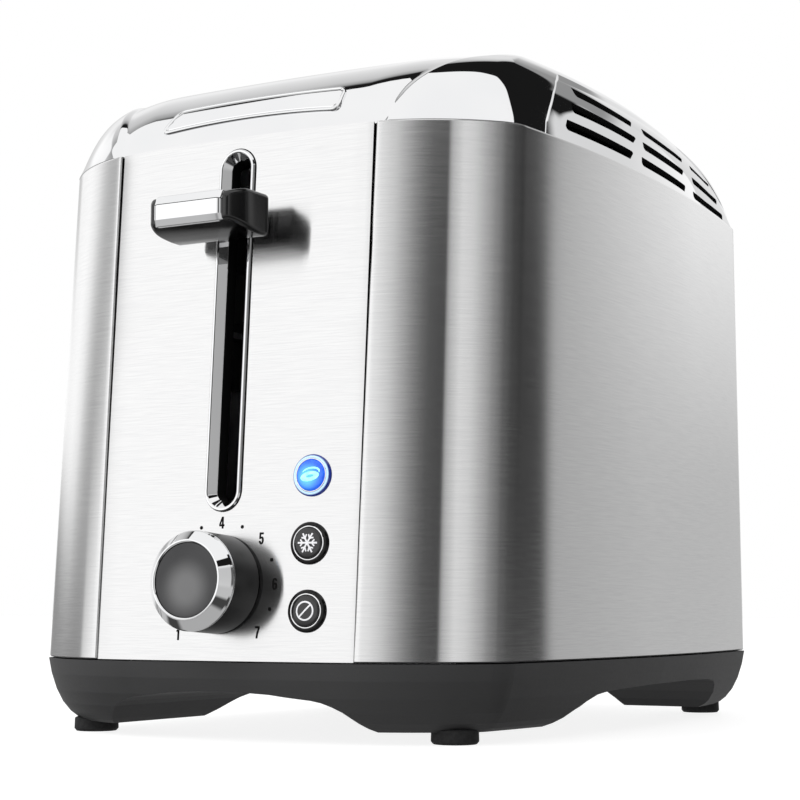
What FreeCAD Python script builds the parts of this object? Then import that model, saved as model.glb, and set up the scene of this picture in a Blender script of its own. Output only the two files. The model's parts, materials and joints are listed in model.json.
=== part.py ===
# Pop-up toaster, two slots, built as separate pieces.
# Millimetres. X across the toaster, Y from the control face (-Y) to the back,
# Z up from the table. Every driving size is a cell of the sheet.
import FreeCAD, Part, Sketcher
import math, os, re
from FreeCAD import Vector as V, Rotation, Placement

os.makedirs("parts", exist_ok=True)
doc = FreeCAD.newDocument("toaster")
sheet = doc.addObject("Spreadsheet::Sheet", "Sheet")

SIZES = [
    ("centre_y", 4.75, "moves the whole toaster so that its length is centred"),
    ("half_len", 124.8, "half length of the steel body at the joint line"),
    ("half_wid", 88.9, "half width of the steel body at the joint line"),
    ("corner_big", 65.0, "front corner, large bend"),
    ("corner_small", 13.5, "front corner, tight bend"),
    ("lean_front", 0.0641, "front lean back per mm of height"),
    ("lean_rear", 0.0088, "rear lean in per mm of height"),
    ("lean_side", 0.0056, "side lean in per mm of height"),
    ("joint_z", 22.94, "line between base and steel"),
    ("steel_top", 179.3, "top edge of the steel"),
    ("joint_gap", 0.4, "shadow gap at the joints"),
    ("sheet_steel", 1.0, "thickness of the outer steel"),
    ("seam_low", 45.0, "half width of the front panel at the bottom"),
    ("seam_high", 46.3, "half width of the front panel at the top"),
    ("panel_inset", 0.8, "front panel behind the side wraps"),
    ("panel_tilt", 86.333, "turn that lays the panel frame on the front panel"),
    ("cap_rise", 33.6, "height of the top moulding"),
    ("cap_wall", 2.2, "wall of the top moulding"),
    ("cap_step", 1.2, "depth of the recessed middle band"),
    ("slot_in", 8.5, "inner edge of a bread slot"),
    ("slot_out", 44.5, "outer edge of a bread slot"),
    ("slot_front", -66.0, "front end of the bread slots"),
    ("slot_rear", 79.0, "rear end of the bread slots"),
    ("base_wall", 2.2, "wall of the base"),
    ("floor_low", 14.4, "underside of the base floor"),
    ("floor_high", 16.4, "top of the base floor"),
    ("pod_bottom", 3.4, "underside of the four corner pods"),
    ("foot_rad", 6.8, "rubber foot"),
    ("foot_x", 63.8, "rubber foot across"),
    ("foot_front", -97.0, "front feet"),
    ("foot_back", 99.0, "rear feet"),
    ("plate_low", 23.4, "underside of the bottom plate"),
    ("plate_thick", 0.8, "chassis sheet"),
    ("wall_front", -68.0, "front wall of the toasting chamber"),
    ("wall_back", 84.0, "rear wall of the toasting chamber"),
    ("chassis_top", 176.0, "top of the chassis walls"),
    ("shield_x", 55.0, "heat shield across"),
    ("board_outer", 47.7, "outer heater board"),
    ("board_thick", 0.8, "mica board"),
    ("guide_out", 43.5, "outer bread guide"),
    ("guide_in", 9.5, "inner bread guide"),
    ("guide_low", 30.0, "pivot rod of a bread guide"),
    ("guide_high", 164.0, "top rod of a bread guide"),
    ("rack_x", 26.5, "middle of a bread slot"),
    ("rack_z", 116.0, "bread rack, underside, raised"),
    ("rod_x", 12.0, "carriage rod across"),
    ("rod_y", -80.0, "carriage rod along"),
    ("rod_rad", 3.0, "carriage rod"),
    ("neck_low", 148.0, "lever neck, underside"),
    ("neck_high", 157.0, "lever neck, top"),
    ("neck_half", 2.3, "lever neck, half thickness"),
    ("head_half", 16.3, "lever head, half width"),
    ("cutter_low", 69.1, "lower end of the lever opening"),
    ("cutter_high", 172.5, "upper end of the lever opening"),
    ("opening_half", 3.05, "half width of the lever opening"),
    ("bezel_half", 6.4, "half width of the bezel"),
    ("bezel_low", 66.5, "lower end of the bezel"),
    ("bezel_high", 175.8, "upper end of the bezel"),
    ("bezel_proud", 0.9, "bezel proud of the panel"),
    ("knob_z", 45.2, "knob axis height"),
    ("knob_rad", 14.4, "knob"),
    ("knob_len", 16.9, "knob face from the panel"),
    ("button_x", 30.0, "button column"),
    ("button_one", 76.1, "bagel button height"),
    ("button_two", 56.7, "frozen button height"),
    ("button_three", 37.5, "cancel button height"),
    ("button_rad", 4.45, "button"),
    ("button_ring", 6.0, "button ring, outer"),
    ("button_travel", 1.6, "button travel"),
    ("board_depth", 12.0, "control board behind the panel"),
    ("tray_half", 58.0, "crumb tray, half width"),
    ("tray_front", -88.0, "crumb tray, front end"),
    ("tray_rear", 121.0, "crumb tray, rear end"),
    ("tray_low", 16.8, "crumb tray, underside"),
    ("handle_end", 131.8, "crumb tray handle, rear face"),
    ("inlet_x", -52.0, "cord inlet across"),
    ("inlet_z", 40.0, "cord inlet height"),
]
for i, (alias, value, note) in enumerate(SIZES, 1):
    sheet.set("A%d" % i, note)
    sheet.set("B%d" % i, repr(float(value)))
    sheet.setAlias("B%d" % i, alias)
doc.recompute()
D = {alias: float(sheet.get(alias)) for alias, value, note in SIZES}
WORD = re.compile(r"[a-z]+_[a-z]+")
ZERO = Placement()
NODES = []


def E(text):
    """An expression with the sheet's aliases in it."""
    return WORD.sub(lambda k: "Sheet." + k.group(0) if k.group(0) in D else k.group(0), str(text))


def N(text):
    """The same expression as a number, for starting values."""
    return float(number_of(str(text)))


def number_of(text):
    for k in sorted(D, key=len, reverse=True):
        text = re.sub(r"\b%s\b" % k, "(%r)" % D[k], text)
    # a small evaluator for + - * / and brackets
    toks = re.findall(r"\d+\.?\d*(?:e-?\d+)?|[-+*/()]", text)
    pos = [0]

    def atom():
        k = toks[pos[0]]
        pos[0] += 1
        if k == "(":
            v = add()
            pos[0] += 1
            return v
        if k == "-":
            return -atom()
        if k == "+":
            return atom()
        return float(k)

    def mul():
        v = atom()
        while pos[0] < len(toks) and toks[pos[0]] in "*/":
            k = toks[pos[0]]
            pos[0] += 1
            w = atom()
            v = v * w if k == "*" else v / w
        return v

    def add():
        v = mul()
        while pos[0] < len(toks) and toks[pos[0]] in "+-":
            k = toks[pos[0]]
            pos[0] += 1
            w = mul()
            v = v + w if k == "+" else v - w
        return v
    return add()


count = [0]


def uid(kind):
    count[0] += 1
    return "%s%03d" % (kind, count[0])


def box(x0, x1, y0, y1, z0, z1):
    b = doc.addObject("Part::Box", uid("Block"))
    b.setExpression("Length", E("(%s)-(%s)" % (x1, x0)))
    b.setExpression("Width", E("(%s)-(%s)" % (y1, y0)))
    b.setExpression("Height", E("(%s)-(%s)" % (z1, z0)))
    b.setExpression("Placement.Base.x", E(x0))
    b.setExpression("Placement.Base.y", E(y0))
    b.setExpression("Placement.Base.z", E(z0))
    return b


AX = {"z": Rotation(), "y": Rotation(V(1, 0, 0), -90), "x": Rotation(V(0, 1, 0), 90)}


def cyl(x, y, z, rad, length, axis="z"):
    c = doc.addObject("Part::Cylinder", uid("Round"))
    c.Placement = Placement(V(), AX[axis])
    c.setExpression("Radius", E(rad))
    c.setExpression("Height", E(length))
    c.setExpression("Placement.Base.x", E(x))
    c.setExpression("Placement.Base.y", E(y))
    c.setExpression("Placement.Base.z", E(z))
    return c


def cone(x, y, z, r0, r1, length, axis="z"):
    c = doc.addObject("Part::Cone", uid("Taper"))
    c.Placement = Placement(V(), AX[axis])
    c.setExpression("Radius1", E(r0))
    c.setExpression("Radius2", E(r1))
    c.setExpression("Height", E(length))
    c.setExpression("Placement.Base.x", E(x))
    c.setExpression("Placement.Base.y", E(y))
    c.setExpression("Placement.Base.z", E(z))
    return c


def fuse(*obs):
    f = doc.addObject("Part::MultiFuse", uid("Join"))
    f.Shapes = list(obs)
    return f


def cut(a, *obs):
    c = doc.addObject("Part::Cut", uid("Trim"))
    c.Base = a
    c.Tool = obs[0] if len(obs) == 1 else fuse(*obs)
    return c


def common(a, b):
    c = doc.addObject("Part::MultiCommon", uid("Meet"))
    c.Shapes = [a, b]
    return c


def group(*obs):
    c = doc.addObject("Part::Compound", uid("Set"))
    c.Links = list(obs)
    return c


def feature(shape, kind="Made"):
    f = doc.addObject("Part::Feature", uid(kind))
    f.Shape = shape
    return f


def final(ob, label, placement=None):
    """Name a finished piece and put it in the toaster."""
    ob.Label = label
    if placement is not None:
        ob.Placement = placement
        y = placement.Base.y
    else:
        y = ob.Placement.Base.y
    own = [e for path, e in ob.ExpressionEngine if path.endswith("Placement.Base.y")]
    if own and placement is None:
        ob.setExpression("Placement.Base.y", "(%s) + Sheet.centre_y" % own[0])
    else:
        ob.setExpression("Placement.Base.y", E("%.6f + centre_y" % y))
    NODES.append(ob)
    return ob


def body(label, plane, outline, feature_kind, amount, holes=(), placement=None, mid=False):
    """A PartDesign body: a constrained sketch, padded or turned."""
    b = doc.addObject("PartDesign::Body", uid("Body"))

    def sketch(pts, circles=()):
        sk = b.newObject("Sketcher::SketchObject", uid("Sketch"))
        for f in b.Origin.OriginFeatures:
            if f.Role == plane:
                sk.AttachmentSupport = [(f, "")]
                sk.MapMode = "FlatFace"
        vals = [(N(p), N(q)) for p, q in pts]
        n = len(vals)
        for i in range(n):
            a, c = vals[i], vals[(i + 1) % n]
            sk.addGeometry(Part.LineSegment(V(a[0], a[1], 0), V(c[0], c[1], 0)))
        for i in range(n):
            sk.addConstraint(Sketcher.Constraint("Coincident", i, 2, (i + 1) % n, 1))
        for i in range(n):
            k = sk.addConstraint(Sketcher.Constraint("DistanceX", -1, 1, i, 1, vals[i][0]))
            sk.setExpression("Constraints[%d]" % k, E(pts[i][0]))
            k = sk.addConstraint(Sketcher.Constraint("DistanceY", -1, 1, i, 1, vals[i][1]))
            sk.setExpression("Constraints[%d]" % k, E(pts[i][1]))
        for cx, cy, r in circles:
            g = sk.addGeometry(Part.Circle(V(N(cx), N(cy), 0), V(0, 0, 1), N(r)))
            k = sk.addConstraint(Sketcher.Constraint("DistanceX", -1, 1, g, 3, N(cx)))
            sk.setExpression("Constraints[%d]" % k, E(cx))
            k = sk.addConstraint(Sketcher.Constraint("DistanceY", -1, 1, g, 3, N(cy)))
            sk.setExpression("Constraints[%d]" % k, E(cy))
            k = sk.addConstraint(Sketcher.Constraint("Radius", g, N(r)))
            sk.setExpression("Constraints[%d]" % k, E(r))
        return sk
    sk = sketch(outline, holes)
    if feature_kind == "Pad":
        pad = b.newObject("PartDesign::Pad", uid("Pad"))
        pad.Profile = sk
        pad.Midplane = mid
        pad.setExpression("Length", E(amount))
    else:
        rev = b.newObject("PartDesign::Revolution", uid("Turn"))
        rev.Profile = sk
        rev.ReferenceAxis = (sk, ["V_Axis"])
        rev.Angle = 360
    final(b, label, placement if placement is not None else ZERO)
    return b


# ---------------------------------------------------------------- outlines
T1, T2, T3, T4 = [math.radians(k) for k in (3.6, 48.0, 81.7, 90.0)]


def quarter(HL, HW, rA, rB):
    """Bends of a quarter of the plan, from (0,-HL) to (HW,0)."""
    def d(R, a, b):
        return R * (math.sin(b) - math.sin(a)), -R * (math.cos(b) - math.cos(a))
    ax, ay = d(rA, T1, T2)
    bx, by = d(rB, T2, T3)
    m = ((math.sin(T1), 1 - math.sin(T3)), (1 - math.cos(T1), math.cos(T3)))
    ex, ey = HW - ax - bx, HL - ay - by
    det = m[0][0] * m[1][1] - m[0][1] * m[1][0]
    Rf = (ex * m[1][1] - m[0][1] * ey) / det
    Rs = (m[0][0] * ey - m[1][0] * ex) / det
    arcs, p = [], (0.0, -HL)
    for R, a, b in ((Rf, 0, T1), (rA, T1, T2), (rB, T2, T3), (Rs, T3, T4)):
        mid, end = (a + b) / 2, b
        pm = (p[0] + R * (math.sin(mid) - math.sin(a)), p[1] - R * (math.cos(mid) - math.cos(a)))
        pe = (p[0] + R * (math.sin(end) - math.sin(a)), p[1] - R * (math.cos(end) - math.cos(a)))
        arcs.append((p, pm, pe))
        p = pe
    return arcs


def ring(z, HL, HW, rA, rB, mid):
    """Closed outline wire at height z."""
    q = quarter(HL, HW, rA, rB)
    segs = []
    segs += [(a, b, c) for a, b, c in q]
    segs += [tuple((x, -y) for x, y in (c, b, a)) for a, b, c in reversed(q)]
    segs += [tuple((-x, -y) for x, y in (a, b, c)) for a, b, c in q]
    segs += [tuple((-x, y) for x, y in (c, b, a)) for a, b, c in reversed(q)]
    edges = [Part.Arc(*[V(x, y + mid, z) for x, y in s]).toShape() for s in segs]
    return Part.Wire(edges)


def level(z, dF, dS, rA=None, rB=None, dR=None):
    rA = D["corner_big"] - dF if rA is None else rA
    rB = max(2.0, D["corner_small"] - dF) if rB is None else rB
    dR = dF if dR is None else dR
    dz = min(z, D["steel_top"]) - D["joint_z"]
    yf = -D["half_len"] + D["lean_front"] * dz + dF
    yr = D["half_len"] - D["lean_rear"] * dz - dR
    hw = D["half_wid"] - D["lean_side"] * dz - dS
    return ring(z, (yr - yf) / 2, hw, rA, rB, (yr + yf) / 2)


def loft(wires, ruled=True):
    s = Part.makeLoft(wires, True, ruled)
    if s.Volume < 0:
        s.reverse()
    return s


def prism(pts, axis, a, b):
    """Flat outline pushed along an axis from a to b."""
    if axis == "y":
        w = [V(x, a, z) for x, z in pts]
        d = V(0, b - a, 0)
    elif axis == "x":
        w = [V(a, y, z) for y, z in pts]
        d = V(b - a, 0, 0)
    else:
        w = [V(x, y, a) for x, y in pts]
        d = V(0, 0, b - a)
    return Part.Face(Part.makePolygon(w + [w[0]])).extrude(d)


def sbox(x0, x1, y0, y1, z0, z1):
    return Part.makeBox(x1 - x0, y1 - y0, z1 - z0, V(x0, y0, z0))


zj, zt, jg = D["joint_z"], D["steel_top"], D["joint_gap"]
sa = D["sheet_steel"]

# ------------------------------------------------------------- steel jacket
zb0, zt0 = zj + jg / 2, zt - jg / 2
outer = loft([level(zb0, 0, 0), level(zt0, 0, 0)])
inner = loft([level(zb0 - 1, sa, sa), level(zt0 + 1, sa, sa)])
skin = outer.cut(inner)
wedge = [(D["seam_low"], zj - 3), (D["seam_high"], zt + 3), (120, zt + 3), (120, zj - 3)]
right = skin.common(prism(wedge, "y", -150, 150))
# each wrap folds inward along its two seams
fold_out = loft([level(zb0, sa * 0.5, sa * 0.5), level(zt0, sa * 0.5, sa * 0.5)])
fold_in = loft([level(zb0 - 1, 7.0, 7.0), level(zt0 + 1, 7.0, 7.0)])
lip = [(D["seam_low"], zj - 3), (D["seam_high"], zt + 3), (D["seam_high"] + 0.9, zt + 3), (D["seam_low"] + 0.9, zj - 3)]
fold = fold_out.cut(fold_in).common(prism(lip, "y", -150, 150))
right = right.fuse(fold).removeSplitter()
left = right.mirror(V(), V(1, 0, 0))
final(feature(right, "Wrap"), "side_wrap_right")
final(feature(left, "Wrap"), "side_wrap_left")

pi = D["panel_inset"]
p_out = loft([level(zb0, pi, pi), level(zt0, pi, pi)])
p_in = loft([level(zb0 - 1, pi + sa, pi + sa), level(zt0 + 1, pi + sa, pi + sa)])
panel_skin = p_out.cut(p_in)
gap = 0.35
mid_wedge = [(-D["seam_low"] + gap, zj - 3), (-D["seam_high"] + gap, zt + 3), (D["seam_high"] - gap, zt + 3), (D["seam_low"] - gap, zj - 3)]
front = panel_skin.common(prism(mid_wedge, "y", -150, 0))
rear = panel_skin.common(prism(mid_wedge, "y", 0, 150))

# the frame on the front panel: x across, y up the panel, z out of it
TILT = math.radians(D["panel_tilt"])
PANEL = Placement(V(0, -D["half_len"] + pi, zj), Rotation(V(1, 0, 0), D["panel_tilt"]))
UPZ = math.sin(TILT)


def up(z):
    return (z - zj) / UPZ


BOW = 3.1      # the panel's bow turns the buttons a little outward
DROP = -0.82   # and sets them back


def button_place(z):
    return PANEL.multiply(Placement(V(D["button_x"], up(z), DROP), Rotation(V(0, 1, 0), BOW)))


BTN = [D["button_one"], D["button_two"], D["button_three"]]
holes = []
bez = Part.makeBox(2 * 5.7, up(D["bezel_high"]) - up(D["bezel_low"]) - 1.4, 20, V(-5.7, up(D["bezel_low"]) + 0.7, -10))
bez = bez.makeFillet(5.6, [e for e in bez.Edges if abs(e.Vertexes[0].Z - e.Vertexes[-1].Z) > 1])
bez.Placement = PANEL
holes.append(bez)
hk = Part.makeCylinder(4.0, 20, V(0, up(D["knob_z"]), -10))
hk.Placement = PANEL
holes.append(hk)
for z in BTN:
    hb = Part.makeCylinder(5.5, 20, V(0, 0, -10))
    hb.Placement = button_place(z)
    holes.append(hb)
front = front.cut(Part.makeCompound(holes))
final(feature(front, "Panel"), "front_panel")
hi = Part.makeCylinder(8.2, 30, V(D["inlet_x"] + 20, 110, D["inlet_z"]), V(0, 1, 0))
screw_spots = [(-40, 28), (40, 28), (-40, 168), (40, 168)]
rh = [hi] + [Part.makeCylinder(1.7, 30, V(x, 110, z), V(0, 1, 0)) for x, z in screw_spots]
for k in range(7):
    zz = 60 + 9 * k
    rh.append(sbox(-22, 22, 110, 140, zz, zz + 3.5))
rear = rear.cut(Part.makeCompound(rh))
final(feature(rear, "Panel"), "rear_panel")
final(group(*[fuse(cyl(x, 116.0, z, 1.6, "%g" % (6.6 - 0.0088 * (z - 23)), "y"),
                   cyl(x, "%g" % (122.9 - 0.0088 * (z - 23)), z, 3.1, 1.5, "y"))
              for x, z in screw_spots]), "rear_panel_screws")

# ------------------------------------------------------------------ top cap
UPS = [0.2, 2, 5, 8, 12.5, 16.4, 19.5, 22, 24, 26, 28, 30, 31.5, 33, 33.7]
INF = [0.1, 1.1, 2.5, 4.2, 7.5, 11.2, 15.3, 19.2, 23, 27.8, 33.8, 40.5, 46.5, 54, 61]
INS = [0.08, .75, 1.9, 3.0, 4.7, 6.4, 8.0, 9.5, 11.0, 12.8, 14.8, 17.2, 19.4, 22.6, 26]


def lerp(x, xs, ys):
    if x <= xs[0]:
        return ys[0] + (x - xs[0]) * (ys[1] - ys[0]) / (xs[1] - xs[0])
    for i in range(1, len(xs)):
        if x <= xs[i] or i == len(xs) - 1:
            return ys[i - 1] + (x - xs[i - 1]) * (ys[i] - ys[i - 1]) / (xs[i] - xs[i - 1])


def offset(ins, t):
    """Profile moved inward by t along its normal."""
    oi, ou = [], []
    for i in range(len(UPS)):
        a, b = max(0, i - 1), min(len(UPS) - 1, i + 1)
        dx, dz = ins[b] - ins[a], UPS[b] - UPS[a]
        k = math.hypot(dx, dz)
        oi.append(ins[i] + t * dz / k)
        ou.append(UPS[i] - t * dx / k)
    return ou, oi


def dome(t, low):
    uf, f = offset(INF, t)
    us, s = offset(INS, t)
    top = min(uf[-1], us[-1])
    zs = [low] + [u for u in UPS[1:] if u < top - 1.2] + [top]
    wires = []
    for u in zs:
        a, b = lerp(u, uf, f), lerp(u, us, s)
        d = (a + b) / 2
        wires.append(level(zt + u, a, b, max(20.0, D["corner_big"] - d), max(8.0, D["corner_small"] - 0.15 * d)))
    return loft(wires)


full = dome(0.0, 0.2)
low = dome(D["cap_step"], 0.2)
hollow = dome(D["cap_step"] + D["cap_wall"], -1.0)
yf_t = -D["half_len"] + D["lean_front"] * (zt - zj)
yr_t = D["half_len"] - D["lean_rear"] * (zt - zj)
EDGE = [(47.6, 0.0), (48.2, 2.2), (48.8, 4.2), (50.0, 7.0), (51.4, 10.1), (52.7, 12.2), (53.7, 14.3), (55.0, 16.8), (56.6, 19.7), (63.6, 40.0), (65.0, 55.0)]
band = [(x, yf_t + i) for x, i in EDGE] + [(x, yr_t - i) for x, i in reversed(EDGE)]
band = [(47.2, yf_t - 10)] + band + [(47.2, yr_t + 10)]
band = band + [(-x, y) for x, y in reversed(band)]
bandp = prism(band, "z", zt - 5, zt + 60)
cap = full.cut(bandp).fuse(low.common(bandp))
cap = cap.cut(hollow)
# lip that drops inside the steel
lip_o = loft([level(zt - 5.0, 2.4, 2.4), level(zt + 1.2, 2.4, 2.4)])
lip_i = loft([level(zt - 6.0, 4.2, 4.2), level(zt + 2.2, 4.2, 4.2)])
clear = [sbox(x0, x1, -150, 150, zt - 6, zt + 0.1) for x0, x1 in ((44.6, 48.4), (-48.4, -44.6))] + [sbox(-7.5, 7.5, -150, 0, zt - 6, zt + 0.1)]
cap = cap.fuse(lip_o.cut(lip_i).cut(Part.makeCompound(clear)))
cutters = []
si, so, sf, sr = D["slot_in"], D["slot_out"], D["slot_front"], D["slot_rear"]
for sx in (1, -1):
    x0, x1 = (si, so) if sx > 0 else (-so, -si)
    b = Part.makeBox(x1 - x0, sr - sf, 40, V(x0, sf, zt + 12))
    b = b.makeFillet(3.0, [e for e in b.Edges if abs(e.Vertexes[0].Z - e.Vertexes[-1].Z) > 1])
    cutters.append(b)
VENTS = [(4.2, 7.9, [(-57, -12.5), (-4.5, 35.0), (43.5, 84.0)]),
         (11.5, 15.1, [(-46.5, -4.4), (3.4, 44.7), (52.4, 92.0)]),
         (18.1, 21.6, [(-38.0, 1.7), (10.2, 49.5), (60.0, 100.0)])]
for u0, u1, spans in VENTS:
    for a, b in spans:
        l = 1.35 * (u1 - u0) / 2
        pts = [(a - l, zt + u0), (b - l, zt + u0), (b + l, zt + u1), (a + l, zt + u1)]
        cutters.append(prism(pts, "x", 70, 100))
        cutters.append(prism(pts, "x", -100, -70))
cap = cap.cut(Part.makeCompound(cutters))
final(feature(cap, "Cap"), "top_cap")

# bare raised plaque on the front slope of the cap
bp = Part.makeBox(62, 10.4, 14, V(-31, -5.2, -7))
bp = bp.makeFillet(3.0, [e for e in bp.Edges if abs(e.Vertexes[0].Z - e.Vertexes[-1].Z) > 1])
bp.Placement = Placement(V(0, yf_t + 5.9, zt + 8.1), Rotation(V(1, 0, 0), 60.5))
plaque = dome(D["cap_step"] - 0.8, 0.2).cut(dome(D["cap_step"], -0.6)).common(bp)
final(feature(plaque, "Plaque"), "front_badge")

# --------------------------------------------------------------------- base
BASE = [(22.74, -0.3), (18, 0.6), (13, 2.2), (9, 4.2), (6, 6.6), (4.4, 8.6), (D["pod_bottom"], 10.8)]


def base_level(z, ins, extra=0.0):
    i = ins + extra
    yf = -D["half_len"] + i
    return ring(z, D["half_len"] - i, D["half_wid"] - i, max(30.0, D["corner_big"] - i), max(3.0, D["corner_small"] - i * 0.8), 0.0)


shell = loft([base_level(z, i) for z, i in BASE])
FRONT_ARCH = [(47.4, 2.0), (46.4, 3.4), (44.5, 4.9), (42.2, 6.9), (39.7, 9.1), (36.8, 10.6), (33.8, 11.7), (30.7, 12.3), (22.6, 13.1), (17.7, 13.7), (8.6, 14.2), (0, 14.4)]
arch = [(x, z) for x, z in FRONT_ARCH] + [(-x, z) for x, z in reversed(FRONT_ARCH[:-1])]
arch = [(47.4, -5)] + arch + [(-47.4, -5)]
SIDE_ARCH = [(-64.5, 2.2), (-63.0, 3.3), (-61.2, 4.2), (-58.4, 5.6), (-54.5, 8.0), (-49.3, 10.5), (-44.1, 12.3), (-37.6, 13.1), (-28.9, 13.5), (-6.4, 14.1), (30.5, 14.4), (52.0, 13.9), (58.0, 13.1), (61.7, 11.8), (65.0, 9.0), (67.2, 6.0), (68.7, 2.2)]
side = [(-64.5, -5)] + SIDE_ARCH + [(68.7, -5)]
shell = shell.cut(prism(arch, "y", -150, 150))
shell = shell.cut(prism(side, "x", -120, 120))
bw = D["base_wall"]
room = loft([base_level(z, i, bw) for z, i in [(24.0, -0.3), (18, 0.6), (D["floor_high"], 1.1)]])
shell = shell.cut(room)
pod = loft([base_level(z, i, bw + 0.4) for z, i in [(19.0, 0.6), (13, 2.2), (9, 4.2), (6.4, 6.2)]])
pods = []
for x0, x1 in ((50.5, 100), (-100, -50.5)):
    for y0, y1 in ((-150, -68.0), (73.0, 150)):
        pods.append(sbox(x0, x1, y0, y1, 6.4, 19.0))
pod = pod.common(Part.makeCompound(pods))
shell = shell.cut(pod)
BOSS = [(64.0, -86.0), (-64.0, -86.0), (64.0, 86.0), (-64.0, 86.0)]
plus = [Part.makeCylinder(5.0, D["plate_low"] - 5.0, V(x, y, 5.0)) for x, y in BOSS]
plus += [sbox(D["tray_half"] + 0.6, D["tray_half"] + 2.2, -80, 108, D["floor_high"] - 0.5, 22.4),
         sbox(-D["tray_half"] - 2.2, -D["tray_half"] - 0.6, -80, 108, D["floor_high"] - 0.5, 22.4)]
for q in plus:
    shell = shell.fuse(q)
minus = [Part.makeCylinder(1.7, 40, V(x, y, 0)) for x, y in BOSS]
minus += [Part.makeCylinder(3.4, 7.0, V(x, y, 2.0)) for x, y in BOSS]
minus.append(sbox(-D["tray_half"] - 0.6, D["tray_half"] + 0.6, 100, 150, D["floor_high"], 30))
shell = shell.cut(Part.makeCompound(minus)).removeSplitter()
final(feature(shell, "Base"), "base_shell")

feet = []
for x in ("foot_x", "-foot_x"):
    for y in ("foot_front", "foot_back"):
        feet.append(fuse(cone(x, y, 0, "foot_rad-0.8", "foot_rad", 0.8), cyl(x, y, 0.8, "foot_rad", "pod_bottom-0.8")))
final(group(*feet), "rubber_feet")
final(group(*[fuse(cyl(x, y, 6.4, 3.1, 2.6), cyl(x, y, 9.0, 1.6, "plate_low+plate_thick-9.0")) for x, y in BOSS]), "base_screws")

plate = loft([level(D["plate_low"], 1.95, 1.95), level(D["plate_low"] + D["plate_thick"], 2.0, 2.0)])
win = [sbox(x0, x1, D["wall_front"] + 3, D["wall_back"] - 3, 20, 30) for x0, x1 in ((6, 52), (-52, -6))]
win += [Part.makeCylinder(1.62, 30, V(x, y, 10)) for x, y in BOSS]
win += [sbox(x0, x1, y0, y1, 20, 30) for x0, x1 in ((44.3, 46.7), (-46.7, -44.3)) for y0, y1 in ((-130, -117.2), (117.2, 130))]
plate = plate.cut(Part.makeCompound(win))
final(feature(plate, "Plate"), "bottom_plate")

# ------------------------------------------------------------------ chassis
pl, pt = "plate_low+plate_thick", "plate_thick"


def wall(label, y, slots):
    b = box("-shield_x-6", "shield_x+6", y, "%s+%s" % (y, pt), pl, "chassis_top")
    return final(cut(b, *slots), label)


front_slots = [box("%s-3" % x, "%s+3" % x, "wall_front-2", "wall_front+3", 34, 140) for x in ("rack_x", "-rack_x")]
front_slots.append(box(-8, 8, "wall_front-2", "wall_front+3", 24, 30))
wall("front_chassis_plate", "wall_front-plate_thick", front_slots)
wall("rear_chassis_plate", "wall_back", [box(-20, 20, "wall_back-2", "wall_back+3", 60, 120)])
for sgn, nm in ((1, "right"), (-1, "left")):
    if sgn > 0:
        b = box("shield_x", "shield_x+plate_thick", "wall_front", "wall_back", pl, "chassis_top")
    else:
        b = box("-shield_x-plate_thick", "-shield_x", "wall_front", "wall_back", pl, "chassis_top")
    slots = [box("%s-5" % ("shield_x" if sgn > 0 else "-shield_x"), "%s+5" % ("shield_x" if sgn > 0 else "-shield_x"), y, y + 30, 150, 156) for y in (-50, -10, 30)]
    final(cut(b, *slots), "heat_shield_" + nm)
bracket = body("rod_bracket", "XY_Plane",
               [("-38", "rod_y-10"), ("38", "rod_y-10"), ("38", "wall_front"), ("-38", "wall_front")],
               "Pad", "1.2", [("rod_x", "rod_y", "rod_rad"), ("-rod_x", "rod_y", "rod_rad")],
               Placement(V(0, 0, D["chassis_top"]), Rotation()))
final(group(cyl("rod_x", "rod_y", pl, "rod_rad", "chassis_top+1.2-(%s)" % pl),
            cyl("-rod_x", "rod_y", pl, "rod_rad", "chassis_top+1.2-(%s)" % pl)), "carriage_guide_rods")


def liner(label, sgn):
    """Funnel under a bread slot: its top edge meets the underside of the cap."""
    x0, x1 = (si, so) if sgn > 0 else (-so, -si)
    w = 0.8
    tube = sbox(x0 - w, x1 + w, sf - w, sr + w, 168, 184).fuse(sbox(x0 - w, x1 + w, sf - w, sr + w, 184, 215).common(hollow))
    tube = tube.cut(sbox(x0, x1, sf, sr, 160, 220)).removeSplitter()
    return final(feature(tube, "Liner"), label)


liner("slot_liner_right", 1)
liner("slot_liner_left", -1)

# ------------------------------------------------------------------ heaters
wires = []


def heater(label, x0):
    final(box(x0, "%s+board_thick" % x0, "wall_front", "wall_back", 34, 150), label)


def windings(x0, x1):
    for k in range(11):
        wires.append(box(x0, x1, "wall_front+4", "wall_back-4", 42 + 9.6 * k, 44 + 9.6 * k))


heater("heater_board_right", "board_outer")
heater("heater_board_left", "-board_outer-board_thick")
heater("heater_board_centre", "-board_thick/2")
windings("board_outer-0.25", "board_outer")
windings("-board_outer", "-board_outer+0.25")
windings("board_thick/2", "board_thick/2+0.25")
windings("-board_thick/2-0.25", "-board_thick/2")
final(group(*wires), "heater_wires")


def guide(label, x):
    rods = [cyl(x, "wall_front+1", "guide_low", 1.3, "wall_back-wall_front-2", "y"),
            cyl(x, "wall_front+3", "guide_high", 1.3, "wall_back-wall_front-6", "y"),
            cyl(x, "wall_front+4", 97, 1.15, "wall_back-wall_front-8", "y")]
    n = 9
    for k in range(n):
        rods.append(cyl(x, "wall_front+4+(wall_back-wall_front-8)*%d/%d" % (k, n - 1), "guide_low", 0.9, "guide_high-guide_low"))
    return final(fuse(*rods), label)


guide("bread_guide_right_outer", "guide_out")
guide("bread_guide_right_inner", "guide_in")
guide("bread_guide_left_inner", "-guide_in")
guide("bread_guide_left_outer", "-guide_out")

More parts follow.
